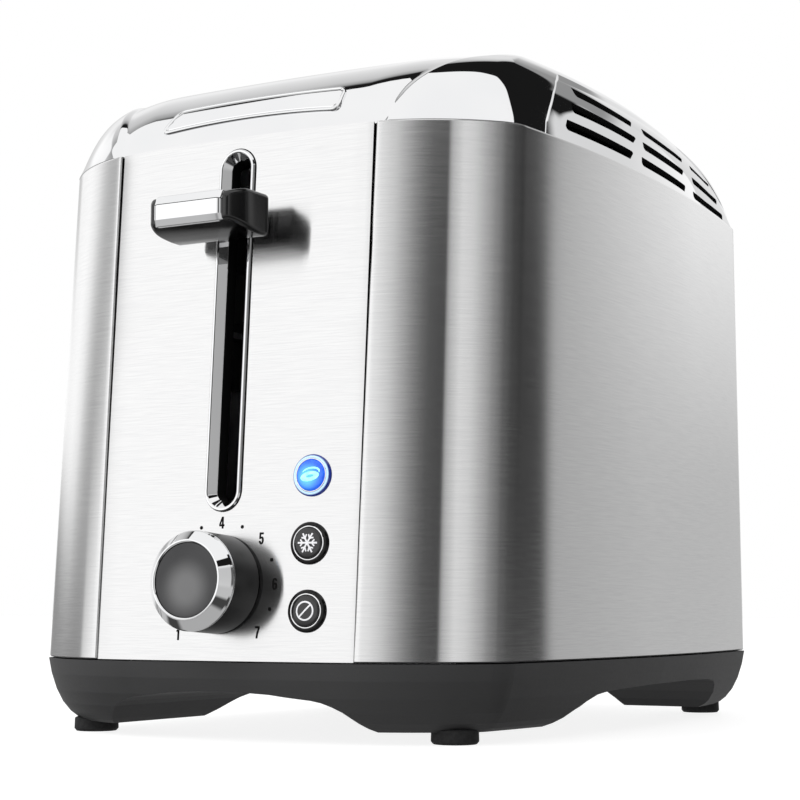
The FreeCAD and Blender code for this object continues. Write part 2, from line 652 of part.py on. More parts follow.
# ----------------------------------------------------------------- carriage
slider = cut(fuse(box(-20, 20, "rod_y-6", "rod_y+6", 144, 160),
                  box(-34, 34, "rod_y+6", "rod_y+7.6", 108, 160),
                  box(-30, -14, "rod_y-22", "rod_y+6", 123.5, 126.5),
                  box(26, 34, "rod_y-6", "rod_y+6", 123.5, 126.5)),
             cyl("rod_x", "rod_y", 100, "rod_rad+0.05", 80), cyl("-rod_x", "rod_y", 100, "rod_rad+0.05", 80),
             box(-6, 6, "rod_y+3", "rod_y+9", 106, 132))
final(slider, "carriage_slider")


def rack(label, x):
    parts = [box("%s-1" % x, "%s+1" % x, "rod_y+7.6", "slot_rear-2", "rack_z", "rack_z+4")]
    for k in range(8):
        y = "slot_front+4+%g" % (18.5 * k)
        parts.append(box("%s-9" % x, "%s+9" % x, y, "(%s)+2.4" % y, "rack_z+2.8", "rack_z+4"))
    parts.append(box("%s-2" % x, "%s+2" % x, "rod_y+7.6", "rod_y+9.2", "rack_z-6", "rack_z+8"))
    return final(fuse(*parts), label)


rack("bread_rack_right", "rack_x")
rack("bread_rack_left", "-rack_x")

R, wr, n, z0, z1 = 3.6, 0.5, 15, 127.0, D["chassis_top"]
helix = Part.makeHelix((z1 - z0 - 2.4) / n, z1 - z0 - 2.4, R)
prof = Part.Wire(Part.Circle(V(R, 0, 0), V(0, 1, 0), wr).toShape())
coil = Part.Wire(helix).makePipeShell([prof], True, True)
coil.translate(V(30, D["rod_y"], z0 + 1.2))
e0 = Part.makeCylinder(R + wr, 1.0, V(30, D["rod_y"], z0))
e1 = Part.makeCylinder(R + wr, 1.0, V(30, D["rod_y"], z1 - 1.0))
final(feature(coil.fuse(e0).fuse(e1), "Spring"), "carriage_spring")

final(fuse(cyl(-22, "rod_y-14", pl, 3.0, "45-(%s)" % pl), cyl(-22, "rod_y-14", "26.4", 7.0, 15),
           cyl(-22, "rod_y-14", pl, 8.0, 1.6), cyl(-22, "rod_y-14", "41.4", 8.0, 1.2)), "latch_electromagnet")
final(box(-30, -14, "rod_y-22", "rod_y-6", 121.6, 123.5), "latch_armature")

# -------------------------------------------------------------------- lever
final(box("-neck_half", "neck_half", -128.0, "rod_y-6", "neck_low", "neck_high"), "lever_arm")
SIDE = [(-122.9, 146.3), (-122.3, 158.0), (-122.9, 158.8), (-132.6, 158.8), (-135.4, 158.3), (-138.0, 157.5),
        (-139.8, 156.8), (-140.0, 156.5), (-140.0, 148.6), (-139.4, 148.8), (-137.4, 148.1), (-134.6, 147.4), (-131.6, 146.9), (-127.0, 146.4)]
PLAN = [(-16.3, -122.0), (-16.3, -131.5), (-16.1, -134.0), (-15.5, -136.4), (-14.6, -138.4), (-13.4, -140.1)]
plan = PLAN + [(-x, y) for x, y in reversed(PLAN)]
head = prism(SIDE, "x", -17, 17).common(prism(plan, "z", 140, 165))
head = head.cut(sbox(-D["neck_half"], D["neck_half"], -128.0, -120, D["neck_low"], D["neck_high"]))
final(feature(head, "Head"), "lever_head")
body("lever_insert", "YZ_Plane",
     [("-140.0", "148.6"), ("-140.7", "148.6"), ("-141.3", "150.5"), ("-141.3", "154.1"), ("-140.6", "156.4"), ("-140.0", "156.4")],
     "Pad", "23.4", mid=True)

# ------------------------------------------------- pieces on the front panel
yl, yh = up(D["bezel_low"]), up(D["bezel_high"])
cl, ch = up(D["cutter_low"]), up(D["cutter_high"])


def stadium(x, y0, y1, z):
    """Long ring with round ends, as a wire."""
    a = [V(-x, y0 + x, z), V(0, y0, z), V(x, y0 + x, z)]
    b = [V(x, y1 - x, z), V(0, y1, z), V(-x, y1 - x, z)]
    return Part.Wire([Part.Arc(*a).toShape(), Part.LineSegment(a[2], b[0]).toShape(),
                      Part.Arc(*b).toShape(), Part.LineSegment(b[2], a[0]).toShape()])


bh, o = D["bezel_half"], D["opening_half"]
e = (yh - yl) / 2 - bh
ym = (yh + yl) / 2


def lane(x, z):
    return stadium(x, ym - e - x, ym + e + x, z)


pr = D["bezel_proud"]
bzl = loft([lane(bh, 0.05), lane(bh, pr * 0.5)]).fuse(loft([lane(bh, pr * 0.5), lane(bh - 0.4, pr)]))
bzl = bzl.fuse(loft([lane(5.5, -6.0), lane(5.5, 0.05)]))
bzl = bzl.cut(loft([lane(o, -8.0), lane(o, 3.0)]))
bzl = bzl.cut(loft([lane(o, -0.6), lane(bh - 1.4, pr)])).cut(loft([lane(bh - 1.4, pr), lane(bh - 1.35, pr + 1)]))
bzl = bzl.removeSplitter()
final(feature(bzl, "Bezel"), "slot_bezel", PANEL)

KNOB = PANEL.multiply(Placement(V(0, up(D["knob_z"]), 0), Rotation(V(1, 0, 0), 90)))
# turned pieces: sketch on XY, y is the axis; the piece's own y becomes the panel normal
body("knob_body", "XY_Plane",
     [("0", "10.2"), ("rod_rad", "10.2"), ("rod_rad", "2.5"), ("knob_rad-2.2", "2.5"), ("knob_rad-2.2", "0.4"), ("knob_rad", "0.4"), ("knob_rad", "knob_len-3.9"), ("0", "knob_len-3.9")],
     "Turn", None, placement=KNOB)
body("knob_rim", "XY_Plane",
     [("10.8", "knob_len-3.9"), ("knob_rad-0.1", "knob_len-3.9"), ("knob_rad-0.4", "knob_len-2.65"), ("11.3", "knob_len"), ("10.8", "knob_len")],
     "Turn", None, placement=KNOB)
body("knob_face", "XY_Plane",
     [("0", "knob_len-3.9"), ("10.8", "knob_len-3.9"), ("10.8", "knob_len-0.3"), ("10.4", "knob_len-0.1"), ("0", "knob_len-0.4")],
     "Turn", None, placement=KNOB)
body("knob_shaft", "XY_Plane",
     [("0", "-9.2"), ("rod_rad-0.05", "-9.2"), ("rod_rad-0.05", "0"), ("rod_rad", "0"), ("rod_rad", "10.2"), ("0", "10.2")],
     "Turn", None, placement=KNOB)
FLAT = PANEL
bd = "board_depth"
pot = cut(box(-8.5, 8.5, "%g-8.5" % up(D["knob_z"]), "%g+8.5" % up(D["knob_z"]), "-%s+1.6" % bd, -3.2),
          cyl(0, up(D["knob_z"]), "-9.6", "rod_rad+0.03", 20))
final(pot, "dial_potentiometer", PANEL)
board = fuse(box(-20, 41, 8, 38, "-%s" % bd, "-%s+1.6" % bd), box(13, 41, 8, 62, "-%s" % bd, "-%s+1.6" % bd))
final(board, "control_board", PANEL)
comps = [box(-17, -8, 29, 36, "-%s-4.5" % bd, "-%s" % bd), box(2, 12, 12, 24, "-%s-2.2" % bd, "-%s" % bd),
         cyl(20, 16, "-%s-7" % bd, 3.0, 7), cyl(28, 16, "-%s-7" % bd, 3.0, 7), box(16, 34, 28, 36, "-%s-6" % bd, "-%s" % bd),
         box(18, 26, 44, 50, "-%s-3" % bd, "-%s" % bd), box(18, 38, 54, 58, "-%s-5" % bd, "-%s" % bd)]
final(group(*comps), "board_components", PANEL)
bx = D["button_x"]
tacts = []
for z in BTN:
    y = up(z)
    tacts.append(fuse(box(bx - 3.3, bx + 2.7, y - 3, y + 3, "-%s+1.6" % bd, -8.85), cyl(bx - 0.3, y, -8.85, 1.2, 0.3)))
final(group(*tacts), "tact_switches", PANEL)
final(fuse(cyl(bx + 5.6, up(BTN[0]) + 4.5, "-%s+1.6" % bd, 1.5, 3.0), cyl(bx + 5.6, up(BTN[0]) + 4.5, "-%s+1.6" % bd, 1.9, 0.8)), "indicator_led", PANEL)


def ring_solid(pl_):
    pts = [(4.75, -2.2), (5.3, -2.2), (5.3, 0.12), (6.0, 0.12), (6.0, 0.42), (5.55, 0.9), (5.05, 0.9), (4.75, 0.6)]
    w = Part.makePolygon([V(r, 0, z) for r, z in pts] + [V(pts[0][0], 0, pts[0][1])])
    s = Part.Face(w).revolve(V(), V(0, 0, 1), 360)
    s.Placement = pl_
    return s


rings = Part.makeCompound([ring_solid(button_place(z)) for z in BTN])
final(feature(rings, "Rings"), "button_rings")
for z, nm in zip(BTN, ("bagel_button", "frozen_button", "cancel_button")):
    K = button_place(z).multiply(Placement(V(), Rotation(V(1, 0, 0), 90)))
    body(nm, "XY_Plane",
         [("0", "-6.0"), ("1.4", "-6.0"), ("1.4", "-2.4"), ("button_rad", "-2.4"), ("button_rad", "0.6"), ("button_rad-0.5", "1.1"), ("button_rad-1.9", "1.5"), ("0", "1.65")],
         "Turn", None, placement=K)

# --------------------------------------------------------------- crumb tray
tr = cut(box("-tray_half", "tray_half", "tray_front", "tray_rear", "tray_low", "tray_low+5.4"),
         box("-tray_half+0.9", "tray_half-0.9", "tray_front+0.9", "tray_rear-0.9", "tray_low+0.9", "tray_low+9"))
final(tr, "crumb_tray")
hd = [(-48, 121.0), (48, 121.0), (47, 129.4), (44.6, 131.2), (38, 131.8), (-38, 131.8), (-44.6, 131.2), (-47, 129.4)]
hnd = prism([(x, y) for x, y in hd], "z", D["tray_low"], D["tray_low"] + 5.4)
hnd = hnd.cut(sbox(-32, 32, 123.0, 129.6, D["tray_low"] - 1, D["tray_low"] + 3.4))
final(feature(hnd, "Handle"), "crumb_tray_handle")

# ---------------------------------------------------------- cord inlet, wiring
iy = D["half_len"] - 0.0088 * (D["inlet_z"] - zj) - pi - sa
gx, gz = D["inlet_x"] + 20, D["inlet_z"]
pts = [(3.6, -6.0), (6.5, -6.0), (8.0, -3.0), (8.0, 1.2), (10.5, 1.2), (10.5, 3.2), (7.0, 5.4), (3.6, 5.4)]
w = Part.makePolygon([V(r, y, 0) for r, y in pts] + [V(pts[0][0], pts[0][1], 0)])
g = Part.Face(w).revolve(V(), V(0, 1, 0), 360)
g.translate(V(gx, iy - 0.1, gz))
final(feature(g, "Inlet"), "cord_inlet")


def wire_run(pts, r):
    s = None
    for a, b in zip(pts, pts[1:]):
        d = b.sub(a)
        c = Part.makeCylinder(r, d.Length, a, d)
        s = c if s is None else s.fuse(c)
    for p in pts[1:-1]:
        s = s.fuse(Part.makeSphere(r, p))
    return s


runs = []
for k, dx in enumerate((0.0, 4.0)):
    runs.append(wire_run([V(gx + dx - 2, iy - 6.6, gz), V(gx + dx - 2, 104 + dx, gz), V(-66 - dx, 100 + dx, 30), V(-66 - dx, -92 - dx, 30),
                          V(-30, -104.5 - 0.0, 34 + dx), V(-14, -107.0, 40 + dx)], 1.3))
final(feature(Part.makeCompound(runs), "Wires"), "inner_wires")

# ------------------------------------------------------------------- output
doc.recompute()
bad = []
for ob in doc.Objects:
    if "Invalid" in ob.State or "Error" in ob.State:
        bad.append((ob.Name, ob.Label, ob.State))
for ob in NODES:
    if ob.Shape.isNull() or not ob.Shape.isValid() or not ob.Shape.Solids:
        bad.append((ob.Label, "shape"))
print("pieces", len(NODES), "bad", bad)
bb = None
for ob in NODES:
    sh = ob.Shape
    b = sh.BoundBox
    bb = b if bb is None else bb.united(b)
    print("%-26s solids %2d vol %9.1f  x %7.2f %7.2f y %7.2f %7.2f z %7.2f %7.2f" % (ob.Label, len(sh.Solids), sh.Volume, b.XMin, b.XMax, b.YMin, b.YMax, b.ZMin, b.ZMax))
    if not bad:
        sh.exportStep("parts/%s.step" % ob.Label)
print("box", bb)
if bad:
    raise SystemExit("pieces not sound: %s" % bad)
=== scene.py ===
import math, json
import bpy
import numpy as np
from mathutils import Matrix, Vector
from mathutils.geometry import delaunay_2d_cdt


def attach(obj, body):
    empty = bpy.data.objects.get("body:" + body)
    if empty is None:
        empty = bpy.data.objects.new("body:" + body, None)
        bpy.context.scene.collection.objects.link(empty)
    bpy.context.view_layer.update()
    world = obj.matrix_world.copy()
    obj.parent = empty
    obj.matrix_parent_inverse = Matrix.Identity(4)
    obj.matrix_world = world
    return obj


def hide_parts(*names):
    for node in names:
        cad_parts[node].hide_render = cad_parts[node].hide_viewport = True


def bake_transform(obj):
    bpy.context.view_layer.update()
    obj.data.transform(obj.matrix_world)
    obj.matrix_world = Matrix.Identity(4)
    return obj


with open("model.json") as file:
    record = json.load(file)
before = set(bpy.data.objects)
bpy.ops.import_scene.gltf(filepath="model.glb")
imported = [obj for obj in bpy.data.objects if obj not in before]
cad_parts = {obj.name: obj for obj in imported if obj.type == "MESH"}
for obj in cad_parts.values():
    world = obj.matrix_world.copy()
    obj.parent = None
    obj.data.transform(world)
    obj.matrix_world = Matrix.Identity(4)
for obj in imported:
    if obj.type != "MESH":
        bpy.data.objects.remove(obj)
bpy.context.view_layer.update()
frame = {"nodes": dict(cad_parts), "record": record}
PI = math.pi
CY = 4.75           # the toaster's own y, moved so that its length is centred
NODE = frame["nodes"]


def rad(a):
    return a * PI / 180.0


# ------------------------------------------------------------------ shaders
class Tree:
    """Small helper that writes a node tree."""

    def __init__(self, tree):
        self.t = tree
        self.n = tree.nodes
        self.l = tree.links

    def put(self, sock, v):
        if isinstance(v, bpy.types.NodeSocket):
            self.l.new(v, sock)
        elif v is not None:
            if hasattr(sock, "default_value"):
                try:
                    sock.default_value = v
                except (TypeError, ValueError):
                    if isinstance(v, (int, float)):
                        sock.default_value = (v, v, v) if len(sock.default_value) == 3 else (v, v, v, 1)
                    else:
                        sock.default_value = tuple(v)[:3] if len(sock.default_value) == 3 else tuple(v) + (1,) * (4 - len(v))

    def m(self, op, a, b=None, c=None, clamp=False):
        k = self.n.new("ShaderNodeMath")
        k.operation = op
        k.use_clamp = clamp
        for i, v in enumerate((a, b, c)):
            if v is not None:
                self.put(k.inputs[i], v)
        return k.outputs[0]

    def add(self, a, b):
        return self.m("ADD", a, b)

    def sub(self, a, b):
        return self.m("SUBTRACT", a, b)

    def mul(self, a, b):
        return self.m("MULTIPLY", a, b)

    def step(self, x, a, b, lo=0.0, hi=1.0, kind="SMOOTHSTEP"):
        k = self.n.new("ShaderNodeMapRange")
        k.interpolation_type = kind
        k.clamp = True
        self.put(k.inputs["Value"], x)
        for nm, v in (("From Min", a), ("From Max", b), ("To Min", lo), ("To Max", hi)):
            self.put(k.inputs[nm], v)
        return k.outputs["Result"]

    def mix(self, f, a, b):
        k = self.n.new("ShaderNodeMix")
        k.data_type = "FLOAT"
        self.put(k.inputs[0], f)
        self.put(k.inputs[2], a)
        self.put(k.inputs[3], b)
        return k.outputs[0]

    def mixc(self, f, a, b, blend="MIX"):
        k = self.n.new("ShaderNodeMix")
        k.data_type = "RGBA"
        k.blend_type = blend
        self.put(k.inputs[0], f)
        for s, v in ((k.inputs[6], a), (k.inputs[7], b)):
            if isinstance(v, bpy.types.NodeSocket):
                self.l.new(v, s)
            else:
                s.default_value = tuple(v) + (1,) * (4 - len(v))
        return k.outputs[2]

    def ramp(self, f, stops, kind="LINEAR"):
        k = self.n.new("ShaderNodeValToRGB")
        r = k.color_ramp
        r.interpolation = kind
        while len(r.elements) > 1:
            r.elements.remove(r.elements[-1])
        first = True
        for p, c in stops:
            if not hasattr(c, "__len__"):
                c = (c, c, c)
            if first:
                e = r.elements[0]
                e.position = p
                first = False
            else:
                e = r.elements.new(p)
            e.color = tuple(c) + (1,) * (4 - len(c))
        self.put(k.inputs[0], f)
        return k.outputs[0]

    def coords(self, scale=(1, 1, 1), rot=(0, 0, 0), obj=True):
        c = self.n.new("ShaderNodeTexCoord")
        k = self.n.new("ShaderNodeMapping")
        self.l.new(c.outputs["Object" if obj else "Generated"], k.inputs["Vector"])
        k.inputs["Scale"].default_value = scale
        k.inputs["Rotation"].default_value = rot
        return k.outputs[0]

    def noise(self, vec, scale, detail=4.0, rough=0.55, distort=0.0):
        k = self.n.new("ShaderNodeTexNoise")
        self.put(k.inputs["Vector"], vec)
        k.inputs["Scale"].default_value = scale
        k.inputs["Detail"].default_value = detail
        k.inputs["Roughness"].default_value = rough
        k.inputs["Distortion"].default_value = distort
        return k.outputs[0]

    def voronoi(self, vec, scale, feature="F1"):
        k = self.n.new("ShaderNodeTexVoronoi")
        k.feature = feature
        self.put(k.inputs["Vector"], vec)
        k.inputs["Scale"].default_value = scale
        return k.outputs["Distance"]

    def bump(self, height, dist, strength=1.0, normal=None):
        k = self.n.new("ShaderNodeBump")
        k.inputs["Strength"].default_value = strength
        k.inputs["Distance"].default_value = dist
        self.put(k.inputs["Height"], height)
        if normal is not None:
            self.l.new(normal, k.inputs["Normal"])
        return k.outputs[0]

    def edge(self, lo=0.5, hi=0.62):
        """Painted highlight: lighter colour on outer edges, where they catch the light."""
        g = self.n.new("ShaderNodeNewGeometry")
        return self.step(g.outputs["Pointiness"], lo, hi)


def material(name, build, **sockets):
    m = bpy.data.materials.new(name)
    m.use_nodes = True
    T = Tree(m.node_tree)
    T.n.clear()
    out = T.n.new("ShaderNodeOutputMaterial")
    b = T.n.new("ShaderNodeBsdfPrincipled")
    T.l.new(b.outputs[0], out.inputs[0])
    T.b = b
    for k, v in sockets.items():
        T.put(b.inputs[k.replace("_", " ")], v)
    got = build(T) or {}
    for k, v in got.items():
        T.put(b.inputs[k.replace("_", " ")], v)
    return m


def lin(v):
    v = v / 255.0
    return ((v + 0.055) / 1.055) ** 2.4 if v > 0.04045 else v / 12.92


# ---------------------------------------------------------------- materials
def build_steel(T):
    """Sheet steel brushed along the sheet: fine streaks that run level round the body."""
    fine = T.noise(T.coords((95, 95, 4200)), 1.0, 2.0, 0.6)
    mid = T.noise(T.coords((60, 60, 1900)), 1.0, 2.0, 0.55)
    wide = T.noise(T.coords((9, 9, 14)), 1.0, 2.0, 0.5)
    h = T.add(T.mul(fine, 0.6), T.mul(mid, 0.35))
    rough = T.add(T.step(wide, 0.3, 0.75, 0.118, 0.13, "LINEAR"), T.mul(T.sub(fine, 0.5), 0.05))
    col = T.mixc(T.step(fine, 0.25, 0.75), (0.735, 0.735, 0.74), (0.805, 0.805, 0.805))
    col = T.mixc(T.step(mid, 0.3, 0.7, 0.0, 0.25), col, (0.82, 0.82, 0.815), "MIX")
    tan = T.n.new("ShaderNodeTangent")
    tan.direction_type = "RADIAL"
    tan.axis = "Z"
    T.l.new(tan.outputs[0], T.b.inputs["Tangent"])
    return {"Base Color": col, "Roughness": rough, "Normal": T.bump(h, 0.0000016, 0.5)}


def build_chrome(T):
    wave = T.noise(T.coords((30, 30, 30)), 1.0, 2.0, 0.5)
    dust = T.noise(T.coords((900, 900, 900)), 1.0, 2.0, 0.5)
    rough = T.add(T.step(dust, 0.55, 0.8, 0.018, 0.05, "LINEAR"), T.mul(wave, 0.01))
    col = T.mixc(T.step(wave, 0.3, 0.7), (0.86, 0.865, 0.875), (0.90, 0.90, 0.905))
    return {"Base Color": col, "Roughness": rough, "Normal": T.bump(wave, 0.00002, 0.15)}


def build_base(T):
    """Dark grey moulded plastic with a fine spark texture."""
    v = T.voronoi(T.coords(), 1700)
    n = T.noise(T.coords(), 900, 4.0, 0.6)
    big = T.noise(T.coords(), 22, 3.0, 0.5)
    h = T.add(T.mul(v, 0.5), T.mul(n, 0.6))
    col = T.mixc(T.step(big, 0.3, 0.7), (0.052, 0.052, 0.053), (0.063, 0.063, 0.064))
    # painted highlight: lighter on outer edges, such as the arch lips
    col = T.mixc(T.mul(T.edge(0.51, 0.6), 0.35), col, (0.075, 0.075, 0.077))
    rough = T.add(0.46, T.mul(n, 0.14))
    return {"Base Color": col, "Roughness": rough, "Normal": T.bump(h, 0.00006, 0.35)}


def plastic(c0, c1, rough, scale=1500, strength=0.25, dist=0.00003):
    def f(T):
        n = T.noise(T.coords(), scale, 4.0, 0.6)
        big = T.noise(T.coords(), 60, 2.0, 0.5)
        col = T.mixc(T.step(big, 0.3, 0.7), c0, c1)
        # painted highlight: a lighter tint on outer edges
        col = T.mixc(T.mul(T.edge(0.51, 0.6), 0.3), col, tuple(min(1, v * 1.8 + 0.02) for v in c1))
        return {"Base Color": col, "Roughness": T.add(rough - 0.03, T.mul(n, 0.07)), "Normal": T.bump(n, dist, strength)}
    return f


def metal(c0, c1, r0, r1, scale=(300, 300, 300), strength=0.2, dist=0.00002):
    def f(T):
        n = T.noise(T.coords(scale), 1.0, 4.0, 0.6)
        big = T.noise(T.coords(), 35, 3.0, 0.5)
        col = T.mixc(T.step(big, 0.3, 0.7), c0, c1)
        return {"Base Color": col, "Roughness": T.step(n, 0.25, 0.75, r0, r1, "LINEAR"), "Normal": T.bump(n, dist, strength)}
    return f


def build_knob_face(T):
    """Dark spun metal: rings round the axis of the knob."""
    c = T.n.new("ShaderNodeTexCoord")
    vs = T.n.new("ShaderNodeVectorMath")
    vs.operation = "SUBTRACT"
    T.l.new(c.outputs["Object"], vs.inputs[0])
    vs.inputs[1].default_value = tuple(KNOB_CENTRE)
    ln = T.n.new("ShaderNodeVectorMath")
    ln.operation = "LENGTH"
    T.l.new(vs.outputs[0], ln.inputs[0])
    cx = T.n.new("ShaderNodeCombineXYZ")
    T.put(cx.inputs[0], T.mul(ln.outputs["Value"], 9000.0))
    n = T.noise(cx.outputs[0], 1.0, 2.0, 0.6)
    big = T.noise(T.coords(), 90, 3.0, 0.5)
    col = T.mixc(T.step(n, 0.3, 0.7), (0.060, 0.060, 0.062), (0.080, 0.080, 0.082))
    # a soft pool of light low in the disc
    sp = T.n.new("ShaderNodeSeparateXYZ")
    T.l.new(vs.outputs[0], sp.inputs[0])
    dx = T.mul(sp.outputs[0], 1000.0)
    dz = T.add(T.mul(sp.outputs[2], 1000.0), 1.6)
    rr = T.m("SQRT", T.add(T.mul(dx, dx), T.mul(dz, dz)))
    pool = T.step(rr, 9.5, 2.5)
    col = T.mixc(T.mul(pool, 0.9), col, (0.23, 0.23, 0.232))
    return {"Base Color": T.mixc(T.step(big, 0.35, 0.7, 0, 0.15), col, (0.13, 0.13, 0.132)),
            "Roughness": T.add(0.36, T.mul(n, 0.08)), "Normal": T.bump(n, 0.00001, 0.5)}


def build_mica(T):
    n = T.noise(T.coords((60, 60, 60)), 1.0, 5.0, 0.6)
    v = T.voronoi(T.coords(), 260)
    col = T.mixc(T.step(n, 0.3, 0.7), (0.42, 0.36, 0.26), (0.58, 0.52, 0.40))
    return {"Base Color": T.mixc(T.step(v, 0.1, 0.5, 0, 0.5), col, (0.66, 0.62, 0.52)), "Roughness": T.add(0.35, T.mul(n, 0.3)), "Normal": T.bump(n, 0.0001, 0.4)}


def build_ribbon(T):
    n = T.noise(T.coords((40, 40, 900)), 1.0, 3.0, 0.6)
    col = T.mixc(T.step(n, 0.3, 0.7), (0.26, 0.24, 0.22), (0.45, 0.42, 0.39))
    return {"Base Color": col, "Roughness": T.add(0.38, T.mul(n, 0.2)), "Normal": T.bump(n, 0.00003, 0.4)}


def build_board(T):
    n = T.noise(T.coords(), 900, 2.0, 0.5)
    v = T.voronoi(T.coords((1, 1, 1)), 210)
    col = T.mixc(T.step(v, 0.25, 0.34), (0.20, 0.30, 0.16), (0.035, 0.13, 0.055))
    return {"Base Color": T.mixc(T.step(n, 0.3, 0.7, 0, 0.4), col, (0.02, 0.09, 0.04)), "Roughness": T.add(0.3, T.mul(n, 0.15)), "Normal": T.bump(v, 0.00005, 0.3)}


def build_rubber(T):
    n = T.noise(T.coords(), 700, 5.0, 0.65)
    col = T.mixc(T.step(n, 0.3, 0.7), (0.018, 0.018, 0.019), (0.035, 0.035, 0.036))
    return {"Base Color": col, "Roughness": T.add(0.62, T.mul(n, 0.2)), "Normal": T.bump(n, 0.0001, 0.5)}


def build_glow(T):
    """Button cap lit from behind: bright towards its middle."""
    n = T.noise(T.coords(), 500, 3.0, 0.5)
    c = T.n.new("ShaderNodeTexCoord")
    ln = T.n.new("ShaderNodeVectorMath")
    ln.operation = "DISTANCE"
    T.l.new(c.outputs["Object"], ln.inputs[0])
    ln.inputs[1].default_value = tuple(LIT_CENTRE)
    rr = T.mul(ln.outputs["Value"], 1000.0)
    col = T.mixc(T.step(n, 0.3, 0.7), (0.010, 0.085, 0.60), (0.016, 0.12, 0.70))
    col = T.mixc(T.step(rr, 4.6, 0.8, 0.0, 0.9), col, (0.10, 0.50, 1.0))
    return {"Base Color": col, "Roughness": T.add(0.12, T.mul(n, 0.06)), "Emission Color": col, "Normal": T.bump(n, 0.00001, 0.1)}


def build_lens(T):
    """Clear ring round the lit button: pale at its inner edge, a painted highlight in place of its reflections, deep
    blue at its outer one.
    """
    n = T.noise(T.coords(), 500, 3.0, 0.5)
    c = T.n.new("ShaderNodeTexCoord")
    ln = T.n.new("ShaderNodeVectorMath")
    ln.operation = "DISTANCE"
    T.l.new(c.outputs["Object"], ln.inputs[0])
    ln.inputs[1].default_value = tuple(RING_CENTRE)
    rr = T.mul(ln.outputs["Value"], 1000.0)
    pale = T.mixc(T.step(n, 0.3, 0.7), (0.50, 0.74, 1.0), (0.60, 0.82, 1.0))
    deep = T.mixc(T.step(n, 0.3, 0.7), (0.003, 0.014, 0.18), (0.005, 0.02, 0.22))
    # painted highlight: the pale inner band stands in for the ring's reflections
    col = T.mixc(T.step(rr, 5.40, 5.85), pale, deep)
    return {"Base Color": col, "Roughness": T.add(0.05, T.mul(n, 0.05)), "Emission Color": col, "Normal": T.bump(n, 0.00001, 0.1)}


def build_icon_glow(T):
    n = T.noise(T.coords(), 600, 2.0, 0.5)
    col = T.mixc(T.step(n, 0.3, 0.7), (0.24, 0.74, 1.0), (0.36, 0.84, 1.0))
    return {"Base Color": col, "Roughness": T.add(0.3, T.mul(n, 0.1)), "Emission Color": col}


def build_wire_plastic(T):
    n = T.noise(T.coords(), 400, 3.0, 0.5)
    col = T.mixc(T.step(n, 0.3, 0.7), (0.55, 0.53, 0.48), (0.68, 0.66, 0.6))
    return {"Base Color": col, "Roughness": T.add(0.4, T.mul(n, 0.15)), "Normal": T.bump(n, 0.00004, 0.3)}


def panel_frame():
    tilt = rad(86.333)
    ey = np.array((0.0, math.cos(tilt), math.sin(tilt)))
    ez = np.array((0.0, -math.sin(tilt), math.cos(tilt)))
    return np.array((0.0, -124.0, 22.94)), np.array((1.0, 0, 0)), ey, ez


P0, PX, PY, PZ = panel_frame()


def up(z):
    return (z - 22.94) / math.sin(rad(86.333))


def on_panel(a):
    """Points of the panel frame (x across, y up it, z out of it), to the body frame, mm."""
    a = np.asarray(a, float)
    return P0 + a[..., 0:1] * PX + a[..., 1:2] * PY + a[..., 2:3] * PZ


KNOB_CENTRE = (on_panel([0, up(45.2), 8.0]) + (0, CY, 0)) * 0.001
LIT_CENTRE = (on_panel([29.3, up(75.6), 0.6]) + (0, CY, 0)) * 0.001
RING_CENTRE = (on_panel([30.05, up(76.1), 0.0]) + (0, CY, 0)) * 0.001

